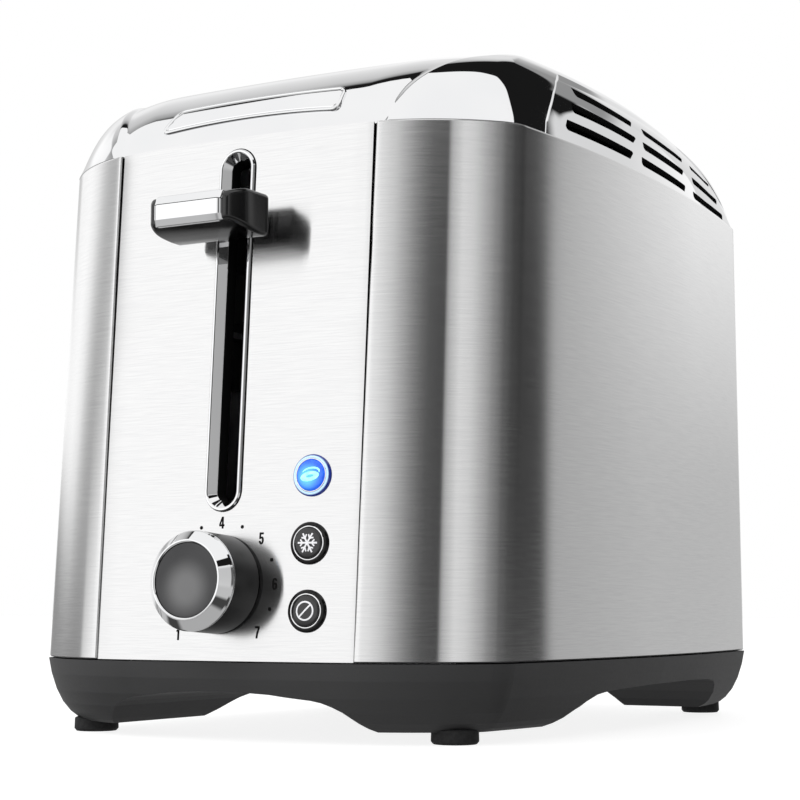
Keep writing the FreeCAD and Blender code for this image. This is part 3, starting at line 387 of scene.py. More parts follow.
MAT = {
    "brushed_steel": material("brushed_steel", build_steel, Metallic=1.0, Anisotropic=1.0, Anisotropic_Rotation=0.25),
    "chrome": material("chrome", build_chrome, Metallic=1.0),
    "base_plastic": material("base_plastic", build_base, Specular_IOR_Level=0.36),
    "lever_plastic": material("lever_plastic", plastic((0.008, 0.008, 0.0085), (0.012, 0.012, 0.0125), 0.13, 1300, 0.12, 0.00001), Specular_IOR_Level=0.6),
    "lens_blue": material("lens_blue", build_lens, Emission_Strength=0.5, Coat_Weight=0.5),
    "inner_dark": material("inner_dark", plastic((0.006, 0.006, 0.006), (0.010, 0.010, 0.010), 0.62), Specular_IOR_Level=0.15),
    "button_plastic": material("button_plastic", plastic((0.010, 0.010, 0.011), (0.014, 0.014, 0.015), 0.16, 900, 0.1, 0.00001), Coat_Weight=0.4),
    "surround_black": material("surround_black", plastic((0.003, 0.003, 0.003), (0.005, 0.005, 0.005), 0.08, 900, 0.05, 0.000005), Specular_IOR_Level=0.3),
    "button_lit": material("button_lit", build_glow, Emission_Strength=0.85, Coat_Weight=0.4),
    "knob_plastic": material("knob_plastic", plastic((0.012, 0.012, 0.0125), (0.017, 0.017, 0.0175), 0.34), Specular_IOR_Level=0.4),
    "knob_metal": material("knob_metal", build_knob_face, Metallic=0.85),
    "rubber": material("rubber", build_rubber, Specular_IOR_Level=0.3),
    "sheet_metal": material("sheet_metal", metal((0.50, 0.50, 0.51), (0.62, 0.62, 0.63), 0.28, 0.42, (60, 60, 60)), Metallic=1.0),
    "steel_wire": material("steel_wire", metal((0.55, 0.55, 0.55), (0.68, 0.68, 0.68), 0.22, 0.36, (200, 200, 200)), Metallic=1.0),
    "bright_steel": material("bright_steel", metal((0.66, 0.66, 0.67), (0.76, 0.76, 0.77), 0.12, 0.24, (400, 400, 400)), Metallic=1.0),
    "mica": material("mica", build_mica, Specular_IOR_Level=0.6),
    "heater_ribbon": material("heater_ribbon", build_ribbon, Metallic=1.0),
    "circuit_board": material("circuit_board", build_board),
    "component_black": material("component_black", plastic((0.015, 0.015, 0.015), (0.025, 0.025, 0.025), 0.42)),
    "copper": material("copper", metal((0.55, 0.22, 0.10), (0.70, 0.32, 0.16), 0.2, 0.38, (90, 90, 1600)), Metallic=1.0),
    "lamp_blue": material("lamp_blue", build_glow, Emission_Strength=1.5),
    "wire_insulation": material("wire_insulation", build_wire_plastic),
    "print_black": material("print_black", plastic((0.003, 0.003, 0.003), (0.005, 0.005, 0.005), 0.8), Specular_IOR_Level=0.05),
    "print_white": material("print_white", plastic((0.82, 0.82, 0.82), (0.88, 0.88, 0.88), 0.45), Emission_Color=(0.9, 0.92, 1.0, 1.0), Emission_Strength=0.3),
    "icon_glow": material("icon_glow", build_icon_glow, Emission_Strength=1.05),
}
SLOTS = [m.get("slot") for m in frame["record"]["materials"]]
for name, o in NODE.items():
    if not o.data.materials:
        o.data.materials.append(MAT["sheet_metal"])
    for i, m in enumerate(o.data.materials):
        key = m.name.split(".")[0] if m else ""
        if key in SLOTS and key in MAT:
            o.data.materials[i] = MAT[key]
        else:
            print("no finish for", name, key)


# ------------------------------------------------------------- mesh helpers
def to_world(a):
    a = np.array(a, float)
    a[:, 1] += CY
    return a * 0.001


def finish_mesh(me, sharp=35.0, normals=None):
    """Smooth shading with hard edges by angle; normals (zero where unknown) are kept as given."""
    me.validate(verbose=False)
    me.update()
    me.polygons.foreach_set("use_smooth", np.ones(len(me.polygons), bool))
    me.set_sharp_from_angle(angle=rad(sharp))
    if normals is not None:
        n = len(me.loops)
        vi = np.zeros(n, np.int32)
        me.loops.foreach_get("vertex_index", vi)
        fn = np.zeros(len(me.polygons) * 3, np.float32)
        me.polygons.foreach_get("normal", fn)
        fn = fn.reshape(-1, 3)
        tot = np.zeros(len(me.polygons), np.int32)
        me.polygons.foreach_get("loop_total", tot)
        lf = np.repeat(np.arange(len(tot)), tot)
        ln = normals[vi].copy()
        bad = (ln * fn[lf]).sum(1) < math.cos(rad(sharp))
        ln[bad] = 0
        me.normals_split_custom_set(ln.tolist())
    me.update()


def solid(name, verts, faces, body, slot, mat=None, sharp=35.0, normals=None, replaces=(), world=False):
    v = np.asarray(verts, float)
    if not world:
        v = to_world(v)
    me = bpy.data.meshes.new(name)
    me.from_pydata(v.tolist(), [], [tuple(int(i) for i in f) for f in faces])
    o = bpy.data.objects.new(name, me)
    bpy.context.scene.collection.objects.link(o)
    finish_mesh(me, sharp, normals)
    me.materials.append(MAT[mat or slot])
    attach(o, body)
    if replaces:
        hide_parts(*replaces)
    return o


def grid_faces(nu, nv, start=0, close_u=False, close_v=False, flip=False):
    i, j = np.meshgrid(np.arange(nu if close_u else nu - 1), np.arange(nv if close_v else nv - 1), indexing="ij")
    i, j = i.ravel(), j.ravel()
    i2, j2 = (i + 1) % nu, (j + 1) % nv
    q = np.stack([i * nv + j, i2 * nv + j, i2 * nv + j2, i * nv + j2], 1) + start
    return q[:, ::-1] if flip else q


class Mesh:
    """Gathers pieces of surface into one mesh."""

    def __init__(self):
        self.v, self.n, self.f, self.k = [], [], [], 0

    def add(self, verts, faces, normals=None):
        verts = np.asarray(verts, float).reshape(-1, 3)
        self.v.append(verts)
        self.n.append(np.zeros_like(verts) if normals is None else np.asarray(normals, float).reshape(-1, 3))
        self.f.extend([tuple(int(i) + self.k for i in f) for f in faces])
        self.k += len(verts)

    def grid(self, P, close_u=False, close_v=False, flip=False, normals=None):
        self.add(P.reshape(-1, 3), grid_faces(P.shape[0], P.shape[1], 0, close_u, close_v, flip), normals)

    def weld(self, tol=2e-4):
        v = np.vstack(self.v)
        n = np.vstack(self.n)
        key = np.round(v / tol).astype(np.int64)
        # neighbours that fall either side of a cell edge are joined by a second, shifted pass
        _, first, inv = np.unique(key, axis=0, return_index=True, return_inverse=True)
        inv = inv.ravel()
        v, n = v[first], n[first]
        f = [[int(inv[i]) for i in q] for q in self.f]
        key = np.floor(v / tol + 0.25).astype(np.int64)
        _, first, inv = np.unique(key, axis=0, return_index=True, return_inverse=True)
        inv = inv.ravel()
        v, n = v[first], n[first]
        out = []
        for q in f:
            q = [int(inv[i]) for i in q]
            r = [a for k, a in enumerate(q) if a != q[k - 1]]
            if len(set(r)) >= 3 and len(set(r)) == len(r):
                out.append(tuple(r))
        return v, n, out


def boundary(faces):
    """Directed boundary edges of a face list."""
    e = {}
    for q in faces:
        for a, b in zip(q, q[1:] + q[:1]):
            e[(a, b)] = e.get((a, b), 0) + 1
    return [k for k in e if (k[1], k[0]) not in e]


def vertex_normals(v, faces):
    n = np.zeros_like(v)
    tri = []
    for q in faces:
        for k in range(1, len(q) - 1):
            tri.append((q[0], q[k], q[k + 1]))
    tri = np.array(tri)
    a, b, c = v[tri[:, 0]], v[tri[:, 1]], v[tri[:, 2]]
    fn = np.cross(b - a, c - a)
    for k in range(3):
        np.add.at(n, tri[:, k], fn)
    return n / np.maximum(np.linalg.norm(n, axis=1, keepdims=True), 1e-12)


def thicken(v, n, faces, t, depth=None):
    """A closed shell: the surface, a copy pushed inwards, and walls along its open edges."""
    vn = vertex_normals(v, faces)
    inner = v - vn * t if depth is None else depth(v, vn)
    k = len(v)
    out = list(faces) + [tuple(i + k for i in reversed(q)) for q in faces]
    for a, b in boundary(faces):
        out.append((b, a, a + k, b + k))
    nn = np.zeros_like(v) if n is None else n
    return np.vstack([v, inner]), np.vstack([nn, np.zeros_like(nn)]), out


def smooth_line(pts, sigma, step=0.1):
    """A polyline rounded by a gaussian along its length; its ends stay put."""
    pts = np.asarray(pts, float)
    d = np.r_[0, np.cumsum(np.linalg.norm(np.diff(pts, axis=0), axis=1))]
    m = int(d[-1] / step) + 2
    s = np.linspace(0, d[-1], m)
    q = np.column_stack([np.interp(s, d, pts[:, k]) for k in range(pts.shape[1])])
    h = s[1] - s[0]
    w = int(3.5 * sigma / h) + 1
    a = 2 * q[0] - q[1:w + 1][::-1]
    b = 2 * q[-1] - q[-w - 1:-1][::-1]
    full = np.vstack([a, q, b])
    g = np.exp(-0.5 * (np.arange(-w, w + 1) * h / sigma) ** 2)
    g /= g.sum()
    return np.column_stack([np.convolve(full[:, k], g, "valid") for k in range(pts.shape[1])])


def resample(pts, step, close=False):
    pts = np.asarray(pts, float)
    if close:
        pts = np.vstack([pts, pts[:1]])
    d = np.r_[0, np.cumsum(np.linalg.norm(np.diff(pts, axis=0), axis=1))]
    m = max(2, int(round(d[-1] / step)) + 1)
    s = np.linspace(0, d[-1], m)
    q = np.column_stack([np.interp(s, d, pts[:, k]) for k in range(pts.shape[1])])
    return q[:-1] if close else q


def inside(poly, pts):
    """Points inside a closed 2-D polygon."""
    x, y = pts[:, 0], pts[:, 1]
    c = np.zeros(len(pts), bool)
    a = poly
    b = np.roll(poly, -1, axis=0)
    for (x0, y0), (x1, y1) in zip(a, b):
        if y0 == y1:
            continue
        hit = ((y0 > y) != (y1 > y))
        xx = (x1 - x0) * (y - y0) / (y1 - y0) + x0
        c ^= hit & (x < xx)
    return c


def away(poly, pts, dist, closed=True):
    """True where a point is at least dist from the line."""
    ok = np.ones(len(pts), bool)
    a = poly
    b = np.roll(poly, -1, axis=0) if closed else poly[1:]
    if not closed:
        a = poly[:-1]
    for p, q in zip(a, b):
        lo = np.minimum(p, q) - dist
        hi = np.maximum(p, q) + dist
        idx = np.where(ok & (pts > lo).all(1) & (pts < hi).all(1))[0]
        if not len(idx):
            continue
        d = q - p
        L = max((d * d).sum(), 1e-12)
        w = np.clip(((pts[idx] - p) @ d) / L, 0, 1)
        near = np.linalg.norm(pts[idx] - (p + w[:, None] * d), axis=1) < dist
        ok[idx[near]] = False
    return ok


def fill(outer, holes=(), spacing=1.0, extra=(), sx=1.0, keep=0.45, lines=()):
    """Triangles over a 2-D region with holes. outer and holes are point loops; extra are more points; sx stretches the grid in x.
    Returns points and triangles."""
    outer = np.asarray(outer, float)
    lo, hi = outer.min(0), outer.max(0)
    gx = np.arange(lo[0], hi[0] + spacing * sx, spacing * sx)
    gy = np.arange(lo[1], hi[1] + spacing, spacing)
    X, Y = np.meshgrid(gx, gy)
    X = X + (np.arange(len(gy)) % 2)[:, None] * spacing * sx * 0.5
    G = np.column_stack([X.ravel(), Y.ravel()])
    G = G[inside(outer, G)]
    G = G[away(outer, G, keep * spacing)]
    for h in holes:
        G = G[~inside(h, G)]
        G = G[away(h, G, keep * spacing)]
    ext = [np.asarray(e, float).reshape(-1, 2) for e in extra]
    for e in ext:
        if len(e) and len(G):
            # grid points close to the extra ones are left out
            cell = {}
            for p in e:
                cell.setdefault((int(p[0] // spacing), int(p[1] // spacing)), []).append(p)
            mask = np.ones(len(G), bool)
            for i, p in enumerate(G):
                a, b = int(p[0] // spacing), int(p[1] // spacing)
                for da in (-1, 0, 1):
                    for db in (-1, 0, 1):
                        for q in cell.get((a + da, b + db), ()):
                            if abs(q[0] - p[0]) + abs(q[1] - p[1]) < 0.6 * spacing:
                                mask[i] = False
            G = G[mask]
    loops = [outer] + [np.asarray(h, float) for h in holes]
    pts, edges = [], []
    k = 0
    for q in loops:
        m = len(q)
        pts.append(q)
        edges += [(k + i, k + (i + 1) % m) for i in range(m)]
        k += m
    for q in lines:
        q = np.asarray(q, float)
        m = len(q)
        pts.append(q)
        edges += [(k + i, k + i + 1) for i in range(m - 1)]
        k += m
    allp = np.vstack(pts + ext + [G])
    r = delaunay_2d_cdt([Vector(p) for p in allp.tolist()], edges, [], 0, 1e-7)
    P = np.array([tuple(p) for p in r[0]])
    tri = np.array([tuple(t) for t in r[2]])
    c = P[tri].mean(1)
    ok = inside(outer, c)
    for h in holes:
        ok &= ~inside(np.asarray(h, float), c)
    tri = tri[ok]
    a = P[tri]
    cr = (a[:, 1, 0] - a[:, 0, 0]) * (a[:, 2, 1] - a[:, 0, 1]) - (a[:, 1, 1] - a[:, 0, 1]) * (a[:, 2, 0] - a[:, 0, 0])
    tri[cr < 0] = tri[cr < 0][:, ::-1]
    tri = tri[np.abs(cr) > 1e-9]
    used = np.unique(tri)
    remap = -np.ones(len(P), int)
    remap[used] = np.arange(len(used))
    return P[used], remap[tri]


# ------------------------------------------------------------ outer outline
T1, T2, T3 = rad(3.6), rad(48.0), rad(81.7)
ZJ, ZT = 22.94, 179.3
M00, M01, M10, M11 = math.sin(T1), 1 - math.sin(T3), 1 - math.cos(T1), math.cos(T3)
DET = M00 * M11 - M01 * M10


def plan(T, HL, HW, rA, rB):
    """Point of the rounded outline whose outward normal is at angle T from -Y, towards +X."""
    T = np.mod(T, 2 * PI)
    quad = np.floor(T / (PI / 2)).astype(int) % 4
    t = np.where(quad == 0, T, np.where(quad == 1, PI - T, np.where(quad == 2, T - PI, 2 * PI - T)))
    t = np.clip(t, 0, PI / 2)
    S, C = np.sin, np.cos
    ax, ay = rA * (S(T2) - S(T1)), rA * (C(T1) - C(T2))
    bx, by = rB * (S(T3) - S(T2)), rB * (C(T2) - C(T3))
    ex, ey = HW - ax - bx, HL - ay - by
    Rf = (ex * M11 - M01 * ey) / DET
    Rs = (M00 * ey - M10 * ex) / DET
    a, b, c, d = np.minimum(t, T1), np.clip(t, T1, T2), np.clip(t, T2, T3), np.maximum(t, T3)
    x = Rf * S(a) + rA * (S(b) - S(T1)) + rB * (S(c) - S(T2)) + Rs * (S(d) - S(T3))
    y = -HL + Rf * (1 - C(a)) + rA * (C(T1) - C(b)) + rB * (C(T2) - C(c)) + Rs * (C(T3) - C(d))
    x = np.where(quad >= 2, -x, x)
    y = np.where((quad == 1) | (quad == 2), -y, y)
    return x, y


def body_level(z, dF, dS, T, rA=None, rB=None):
    """Point of the steel body's outline at height z, moved in by dF at the ends and dS at the sides."""
    dz = np.minimum(z, ZT) - ZJ
    yf = -124.8 + 0.0641 * dz + dF
    yr = 124.8 - 0.0088 * dz - dF
    hw = 88.9 - 0.0056 * dz - dS
    rA = 65.0 - dF if rA is None else rA
    rB = 13.5 - dF if rB is None else rB
    x, y = plan(T, (yr - yf) / 2, hw, rA, rB)
    return x, y + (yr + yf) / 2


def even_angles(step, HL=119.0, HW=88.3, a=0.0, b=2 * PI):
    """Normal angles that space points evenly round the outline."""
    T = np.linspace(a, b, 20001)
    x, y = plan(T, HL, HW, 65.0, 13.5)
    d = np.r_[0, np.cumsum(np.hypot(np.diff(x), np.diff(y)))]
    m = int(round(d[-1] / step)) + 1
    return np.interp(np.linspace(0, d[-1], m), d, T)


# -------------------------------------------------------------- steel sides
ZB0, ZT0 = ZJ + 0.2, ZT + 0.12


def seam_x(z):
    return 45.0 + (z - (ZJ - 3)) * 1.3 / (ZT - ZJ + 6)


def angle_at_x(z, X, dF=0.0, rear=False):
    """Normal angle where the outline crosses x = X, in the large front bend."""
    dz = z - ZJ
    yf = -124.8 + 0.0641 * dz + dF
    yr = 124.8 - 0.0088 * dz - dF
    hw = 88.9 - 0.0056 * dz - dF
    lo, hi = np.zeros_like(np.asarray(X, float) + z), np.full_like(np.asarray(X, float) + z, PI / 2)
    for _ in range(50):
        mid = (lo + hi) / 2
        x, _y = plan(mid, (yr - yf) / 2, hw, 65.0 - dF, 13.5 - dF)
        big = x > X
        hi = np.where(big, mid, hi)
        lo = np.where(big, lo, mid)
    return PI - (lo + hi) / 2 if rear else (lo + hi) / 2


def make_wrap(sgn):
    """One bent steel side, with a hem folded in along both of its front and rear edges."""
    zs = np.r_[ZB0, ZB0 + 0.35, ZB0 + 0.7, np.linspace(ZB0 + 5, ZT0 - 5, 26), ZT0 - 0.5, ZT0 - 0.25, ZT0]
    ins = np.r_[0.3, 0.0, 0.0, np.zeros(26), 0.0, 0.0, 0.06]
    # columns: hem, then round the corner and along the side, then hem
    base_T = even_angles(1.5, a=rad(16), b=PI - rad(16))
    rh = 0.75
    rows = []
    for z, i in zip(zs, ins):
        t0 = float(angle_at_x(z, seam_x(z) + rh))
        t1 = PI - t0
        T = t0 + (base_T - base_T[0]) * (t1 - t0) / (base_T[-1] - base_T[0])
        x, y = body_level(z, i, i, T)
        pts = np.column_stack([x, y])

        def hem(t, front):
            px, py = body_level(z, i, i, np.array([t]))
            n = np.array([math.sin(t), -math.cos(t)])
            d = np.array([-math.cos(t), -math.sin(t)]) * (1 if front else -1)
            p = np.array([px[0], py[0]])
            arc = [p - n * rh + n * rh * math.cos(a) + d * rh * math.sin(a) for a in np.radians([15, 30, 45, 60, 75, 90])]
            tail = [arc[-1] - n * k for k in (0.6, 2.0, 3.6, 5.2)]
            back = [tail[-1] - d * 0.8, tail[-1] - d * 0.8 + n * 4.6]
            return arc + tail, back
        h0, b0 = hem(T[0], True)
        h1, b1 = hem(T[-1], False)
        xi, yi = body_level(z, i + 1.0, i + 1.0, T, 65.0 - 1.0, 12.5)
        inner = np.column_stack([xi, yi])
        loop = np.vstack([np.array(h0[::-1]), pts, np.array(h1), np.array(b1), inner[::-1], np.array(b0[::-1])])
        rows.append(np.column_stack([loop * (sgn, 1), np.full(len(loop), z)]))
    G = np.array(rows)
    k = G.shape[1]
    m = Mesh()
    m.grid(G, close_v=True, flip=(sgn > 0))
    f = grid_faces(G.shape[0], k, 0, False, True, sgn > 0)
    faces = [tuple(q) for q in f]
    # closed at the foot and at the top by strips between the outer and inner skin
    nT, hn, bn = len(base_T), 10, 2
    for row, up_ in ((0, False), (G.shape[0] - 1, True)):
        s = row * k
        outer = list(range(hn, hn + nT))
        inner_ = list(range(hn + nT + hn + bn, hn + nT + hn + bn + nT))[::-1]
        for a, b, c, d in zip(outer, outer[1:], inner_[1:], inner_):
            q = (s + a, s + b, s + c, s + d)
            faces.append(q if up_ == (sgn > 0) else q[::-1])
        h = list(range(0, hn + 1))
        b0 = [k - 1, k - 2] if False else [k - 2, k - 1]
        ring0 = [s + j for j in range(0, hn + 1)] + [s + inner_[0]] + [s + k - 2, s + k - 1]
        ring1 = [s + j for j in range(hn + nT - 1, hn + nT + hn)] + [s + hn + nT + hn, s + hn + nT + hn + 1, s + inner_[-1]]
        faces.append(tuple(ring0) if up_ == (sgn > 0) else tuple(ring0[::-1]))
        faces.append(tuple(ring1) if up_ == (sgn > 0) else tuple(ring1[::-1]))
    nm = "side_wrap_right" if sgn > 0 else "side_wrap_left"
    return solid(nm + "_skin", G.reshape(-1, 3), faces, "housing", "brushed_steel", sharp=30, replaces=(nm,))


make_wrap(1)
make_wrap(-1)


def panel_point(X, z, inset, rear=False):
    """Point of the front or rear panel's face at x = X and height z."""
    t = angle_at_x(z, np.abs(X), inset)
    x, y = body_level(z, inset, inset, PI - t if rear else t)
    return np.column_stack([X, y, z])


def circle(cx, cy, r, n=48, squash=1.0):
    a = np.linspace(0, 2 * PI, n, endpoint=False)
    return np.column_stack([cx + r * np.cos(a), cy + r * squash * np.sin(a)])


def stadium(half, y0, y1, n=16):
    """Long loop with round ends; y0 and y1 are the tips."""
    a = np.linspace(0, PI, n + 1)
    top = np.column_stack([half * np.cos(a), y1 - half + half * np.sin(a)])
    bot = np.column_stack([-half * np.cos(a), y0 + half - half * np.sin(a)])
    m = max(2, int((y1 - y0 - 2 * half) / 4))
    l = np.column_stack([np.full(m - 1, -half), np.linspace(y1 - half, y0 + half, m + 1)[1:-1]])
    r = np.column_stack([np.full(m - 1, half), np.linspace(y0 + half, y1 - half, m + 1)[1:-1]])
    return np.vstack([top, l, bot, r])


BUTTONS = [("bagel", 76.1), ("frozen", 56.7), ("cancel", 37.5)]
cb, sb = math.cos(rad(3.1)), math.sin(rad(3.1))


def on_button(a, z):
    """Points of a button's own frame (z out of its face), to the body frame."""
    a = np.asarray(a, float)
    x = a[..., 0] * cb + a[..., 2] * sb + 30.0
    w = -a[..., 0] * sb + a[..., 2] * cb - 0.82
    return on_panel(np.stack([x, a[..., 1] + up(z), w], -1))


def make_panel(rear):
    zs = np.linspace(ZB0, ZT0, 60)
    lim = seam_x(zs) - 0.32 - 0.75 * (zs - ZB0) / (ZT0 - ZB0)
    right = np.column_stack([lim, zs])
    left = np.column_stack([-lim, zs])[::-1]
    top = np.column_stack([np.linspace(lim[-1], -lim[-1], 40)[1:-1], np.full(38, ZT0)])
    bot = np.column_stack([np.linspace(-lim[0], lim[0], 40)[1:-1], np.full(38, ZB0)])
    outer = np.vstack([right, top, left, bot])
    if not rear:
        hz = [67.2, 175.1]
        holes = [stadium(6.62, 66.25, 176.0, 28)]
        holes.append(circle(0, 45.2, 4.0, 40))
        for _n, z in BUTTONS:
            holes.append(circle(30.0, z - 0.05, 5.7, 64))
    else:
        holes = [circle(-32.0, 40.0, 8.2, 56)]
        holes += [circle(x, z, 1.7, 24) for x, z in ((-40, 28), (40, 28), (-40, 168), (40, 168))]
        for k in range(7):
            z0 = 60 + 9 * k
            c = stadium(1.75, -22, 22, 8)[:, ::-1]
            holes.append(c + (0, z0 + 1.75))
    P, tri = fill(outer, holes, 2.6)
    V = panel_point(P[:, 0], P[:, 1], 0.8, rear)
    faces = [tuple(int(i) for i in t) for t in tri]
    if rear:
        faces = [t[::-1] for t in faces]
    e = 0.01
    a = panel_point(P[:, 0] + e, P[:, 1], 0.8, rear)
    b = panel_point(P[:, 0], P[:, 1] + e, 0.8, rear)
    n = np.cross(a - V, b - V)
    n /= np.linalg.norm(n, axis=1, keepdims=True)
    if rear:
        n = -n
    v2, n2, f2 = thicken(V, n, faces, 1.0)
    nm = "rear_panel" if rear else "front_panel"
    o = solid(nm + "_skin", v2, f2, "housing", "brushed_steel", sharp=30, normals=n2, replaces=(nm,))
    # painted shade: its cut edges and its inner face take a dull dark finish, standing in for the shade in the gaps and
    # inside the body
    o.data.materials.append(MAT["inner_dark"])
    o.data.polygons.foreach_set("material_index", np.array([int(max(p.vertices) >= len(V)) for p in o.data.polygons], np.int32))
    return o


make_panel(False)
make_panel(True)


# ---------------------------------------------------------------- top cap
UPS = [0.2, 2, 5, 8, 12.5, 16.4, 19.5, 22, 24, 26, 28, 30, 31.5, 33, 33.7]
INF = [0.1, 1.1, 2.5, 4.2, 7.5, 11.2, 15.3, 19.2, 23, 27.8, 33.8, 40.5, 46.5, 54, 61]
INS = [0.08, .75, 1.9, 3.0, 4.7, 6.4, 8.0, 9.5, 11.0, 12.8, 14.6, 16.6, 18.4, 21.3, 24.8]
YF, YR, HWT = -124.8 + 0.0641 * (ZT - ZJ), 124.8 - 0.0088 * (ZT - ZJ), 88.9 - 0.0056 * (ZT - ZJ)
YM = (YF + YR) / 2

# the profile of the dome: height over the joint, inset at the ends, inset at the sides
prof = np.column_stack([UPS, INF, INS])
more = [(34.0, 69, 30), (34.15, 78, 36), (34.2, 90, 46), (34.2, 104, 60), (34.2, 112, 74)]
prof = smooth_line(np.vstack([prof, more]), 2.2)
dist = np.r_[0, np.cumsum(np.hypot(np.diff(prof[:, 0]), np.diff((prof[:, 1] + prof[:, 2]) / 2)))]


# corner radii of the dome: mean inset, front part, side part
RAD = smooth_line(np.array([(-9, 65, 13.5), (0, 65, 13.5), (2.3, 60.4, 13.2), (6, 53, 12.2), (11, 45.5, 11), (18, 40, 11.5), (28, 31, 11), (44, 17, 9), (68, 8, 5), (93, 4, 3)]), 2.0, 0.05)
RAD[:, 0] = np.maximum.accumulate(RAD[:, 0] + 1e-6 * np.arange(len(RAD)))


def dome_level(s):
    back = np.minimum(s, 0.0)
    out = []
    for k in range(3):
        slope = (prof[8, k] - prof[0, k]) / (dist[8] - dist[0])
        out.append(np.interp(s, dist, prof[:, k]) + back * slope)
    return out


def dome(s, T):
    """Point on the dome at profile distance s and normal angle T."""
    u, f, g = dome_level(s)
    d = (f + g) / 2
    rA, rB = np.interp(d, RAD[:, 0], RAD[:, 1]), np.interp(d, RAD[:, 0], RAD[:, 2])
    x, y = plan(T, (YR - YF) / 2 - f, HWT - g, rA, rB)
    return np.stack(np.broadcast_arrays(x, y + YM, ZT + u), -1)


def dome_normal(s, T, h=0.02):
    a = dome(s + h, T) - dome(np.maximum(s - h, 0), T)
    b = dome(s, T + 1e-3) - dome(s, T - 1e-3)
    n = np.cross(b, a)
    return n / np.maximum(np.linalg.norm(n, axis=-1, keepdims=True), 1e-12)


# table used as a first guess for the inverse
TS = np.linspace(0, dist[-1], 260)
TT = even_angles(1.2)[:-1]
TAB = dome(TS[:, None], TT[None, :])
POLAR = np.linspace(-PI, PI, 721)[:-1]
ang = np.arctan2(TAB[..., 1] - YM, TAB[..., 0])
rho = np.hypot(TAB[..., 0], TAB[..., 1] - YM)
RHO = np.zeros((len(TS), len(POLAR)))
TANG = np.zeros_like(RHO)
for i in range(len(TS)):
    o_ = np.argsort(ang[i])
    a_ = ang[i][o_]
    tt_ = TT[o_]
    cut_ = int(np.argmax(np.abs(np.diff(tt_)))) + 1
    tt_ = tt_.copy()
    tt_[:cut_] -= 0
    RHO[i] = np.interp(POLAR, a_, rho[i][o_], period=2 * PI)
    TANG[i] = np.mod(np.arctan2(np.interp(POLAR, a_, np.sin(tt_), period=2 * PI), np.interp(POLAR, a_, np.cos(tt_), period=2 * PI)), 2 * PI)


def locate(x, y):
    """Profile distance and normal angle of the dome's point above (x, y)."""
    x, y = np.asarray(x, float), np.asarray(y, float)
    a = np.mod(np.arctan2(y - YM, x) + PI, 2 * PI) / (2 * PI) * len(POLAR)
    j = np.floor(a).astype(int) % len(POLAR)
    r = np.hypot(x, y - YM)
    s = np.zeros(len(x))
    T = np.zeros(len(x))
    for c in range(0, len(x), 20000):
        R = RHO[:, j[c:c + 20000]]
        k = np.clip((R > r[c:c + 20000]).sum(0) - 1, 0, len(TS) - 2)
        q = np.arange(len(k))
        w = np.clip((R[k, q] - r[c:c + 20000]) / np.maximum(R[k, q] - R[k + 1, q], 1e-9), 0, 1)
        s[c:c + 20000] = TS[k] + w * (TS[k + 1] - TS[k])
        T[c:c + 20000] = TANG[k, j[c:c + 20000]]
    top = dist[-1]
    for _ in range(12):
        p = dome(s, T)
        ex, ey = x - p[:, 0], y - p[:, 1]
        h, q = 0.02, 2e-4
        ps, pt = (dome(s + h, T) - dome(s - h, T)) / (2 * h), (dome(s, T + q) - dome(s, T - q)) / (2 * q)
        det = ps[:, 0] * pt[:, 1] - ps[:, 1] * pt[:, 0]
        det = np.where(np.abs(det) < 1e-9, 1e-9, det)
        ds = np.clip((ex * pt[:, 1] - ey * pt[:, 0]) / det, -2, 2)
        dT = np.clip((ps[:, 0] * ey - ps[:, 1] * ex) / det, -0.2, 0.2)
        s, T = np.clip(s + ds, -9.0, top - 0.03), T + dT
    return s, np.mod(T, 2 * PI)


STEP_DEPTH = 1.2
EDGE = np.array([(47.6, 0.0), (48.2, 2.2), (48.8, 4.2), (50.0, 7.0), (51.4, 10.1), (52.7, 12.2), (53.7, 14.3), (55.0, 16.8), (56.6, 19.7), (63.6, 40.0), (65.0, 55.0)])
half = [(EDGE[0, 0] - 1.4, YF - 6.0)] + [(x, YF + i) for x, i in EDGE] + [(65.3, YF + 75), (65.4, YM)]
other = [(x, 2 * YM - y) for x, y in half[::-1]][1:]
edge_line = smooth_line(np.array(half + other), 3.0)
en = np.gradient(edge_line, axis=0)
en /= np.linalg.norm(en, axis=1, keepdims=True)
en = np.column_stack([en[:, 1], -en[:, 0]])             # points outward, to +x
if en[len(en) // 2, 0] < 0:
    en = -en


def edge_offset(d):
    """The edge of the middle band moved out by d, cut where it meets the rim."""
    q = edge_line + en * d
    s, T = locate(q[:, 0], q[:, 1])
    ok = s > 0
    i0 = int(np.argmax(ok))
    i1 = len(ok) - 1 - int(np.argmax(ok[::-1]))
    def cross(i, j):
        w = (0 - s[i]) / (s[j] - s[i])
        return q[i] + w * (q[j] - q[i])
    q = np.vstack([cross(i0 - 1, i0), q[i0:i1 + 1], cross(i1 + 1, i1)])
    return q


NE = 330
E_OUT = edge_offset(1.15)
E_IN = edge_offset(-1.15)


def spaced(q, n):
    d = np.r_[0, np.cumsum(np.linalg.norm(np.diff(q, axis=0), axis=1))]
    w = np.linspace(-1, 1, n)
    w = (w + 0.35 * w ** 3 * np.sign(1)) / 1.35 if False else w
    return np.column_stack([np.interp((w + 1) / 2 * d[-1], d, q[:, k]) for k in range(2)])


E_OUT, E_IN = spaced(E_OUT, NE), spaced(E_IN, NE)


def cap_point(xy, depth, s=None, T=None):
    """Points of the cap, moved in along the dome's normal by depth; the rim stays at s = 0."""
    if s is None:
        s, T = locate(xy[:, 0], xy[:, 1])
    s = np.where(np.abs(s) < 2e-3, 0.0, s)
    p = dome(s, T)
    n = dome_normal(s, T)
    flat = s > dist[-1] - 0.5           # the level middle of the top
    p[flat, :2] = np.asarray(xy, float)[flat]
    n[flat] = (0.0, 0.0, 1.0)
    return p - n * np.reshape(depth, (-1, 1)), n


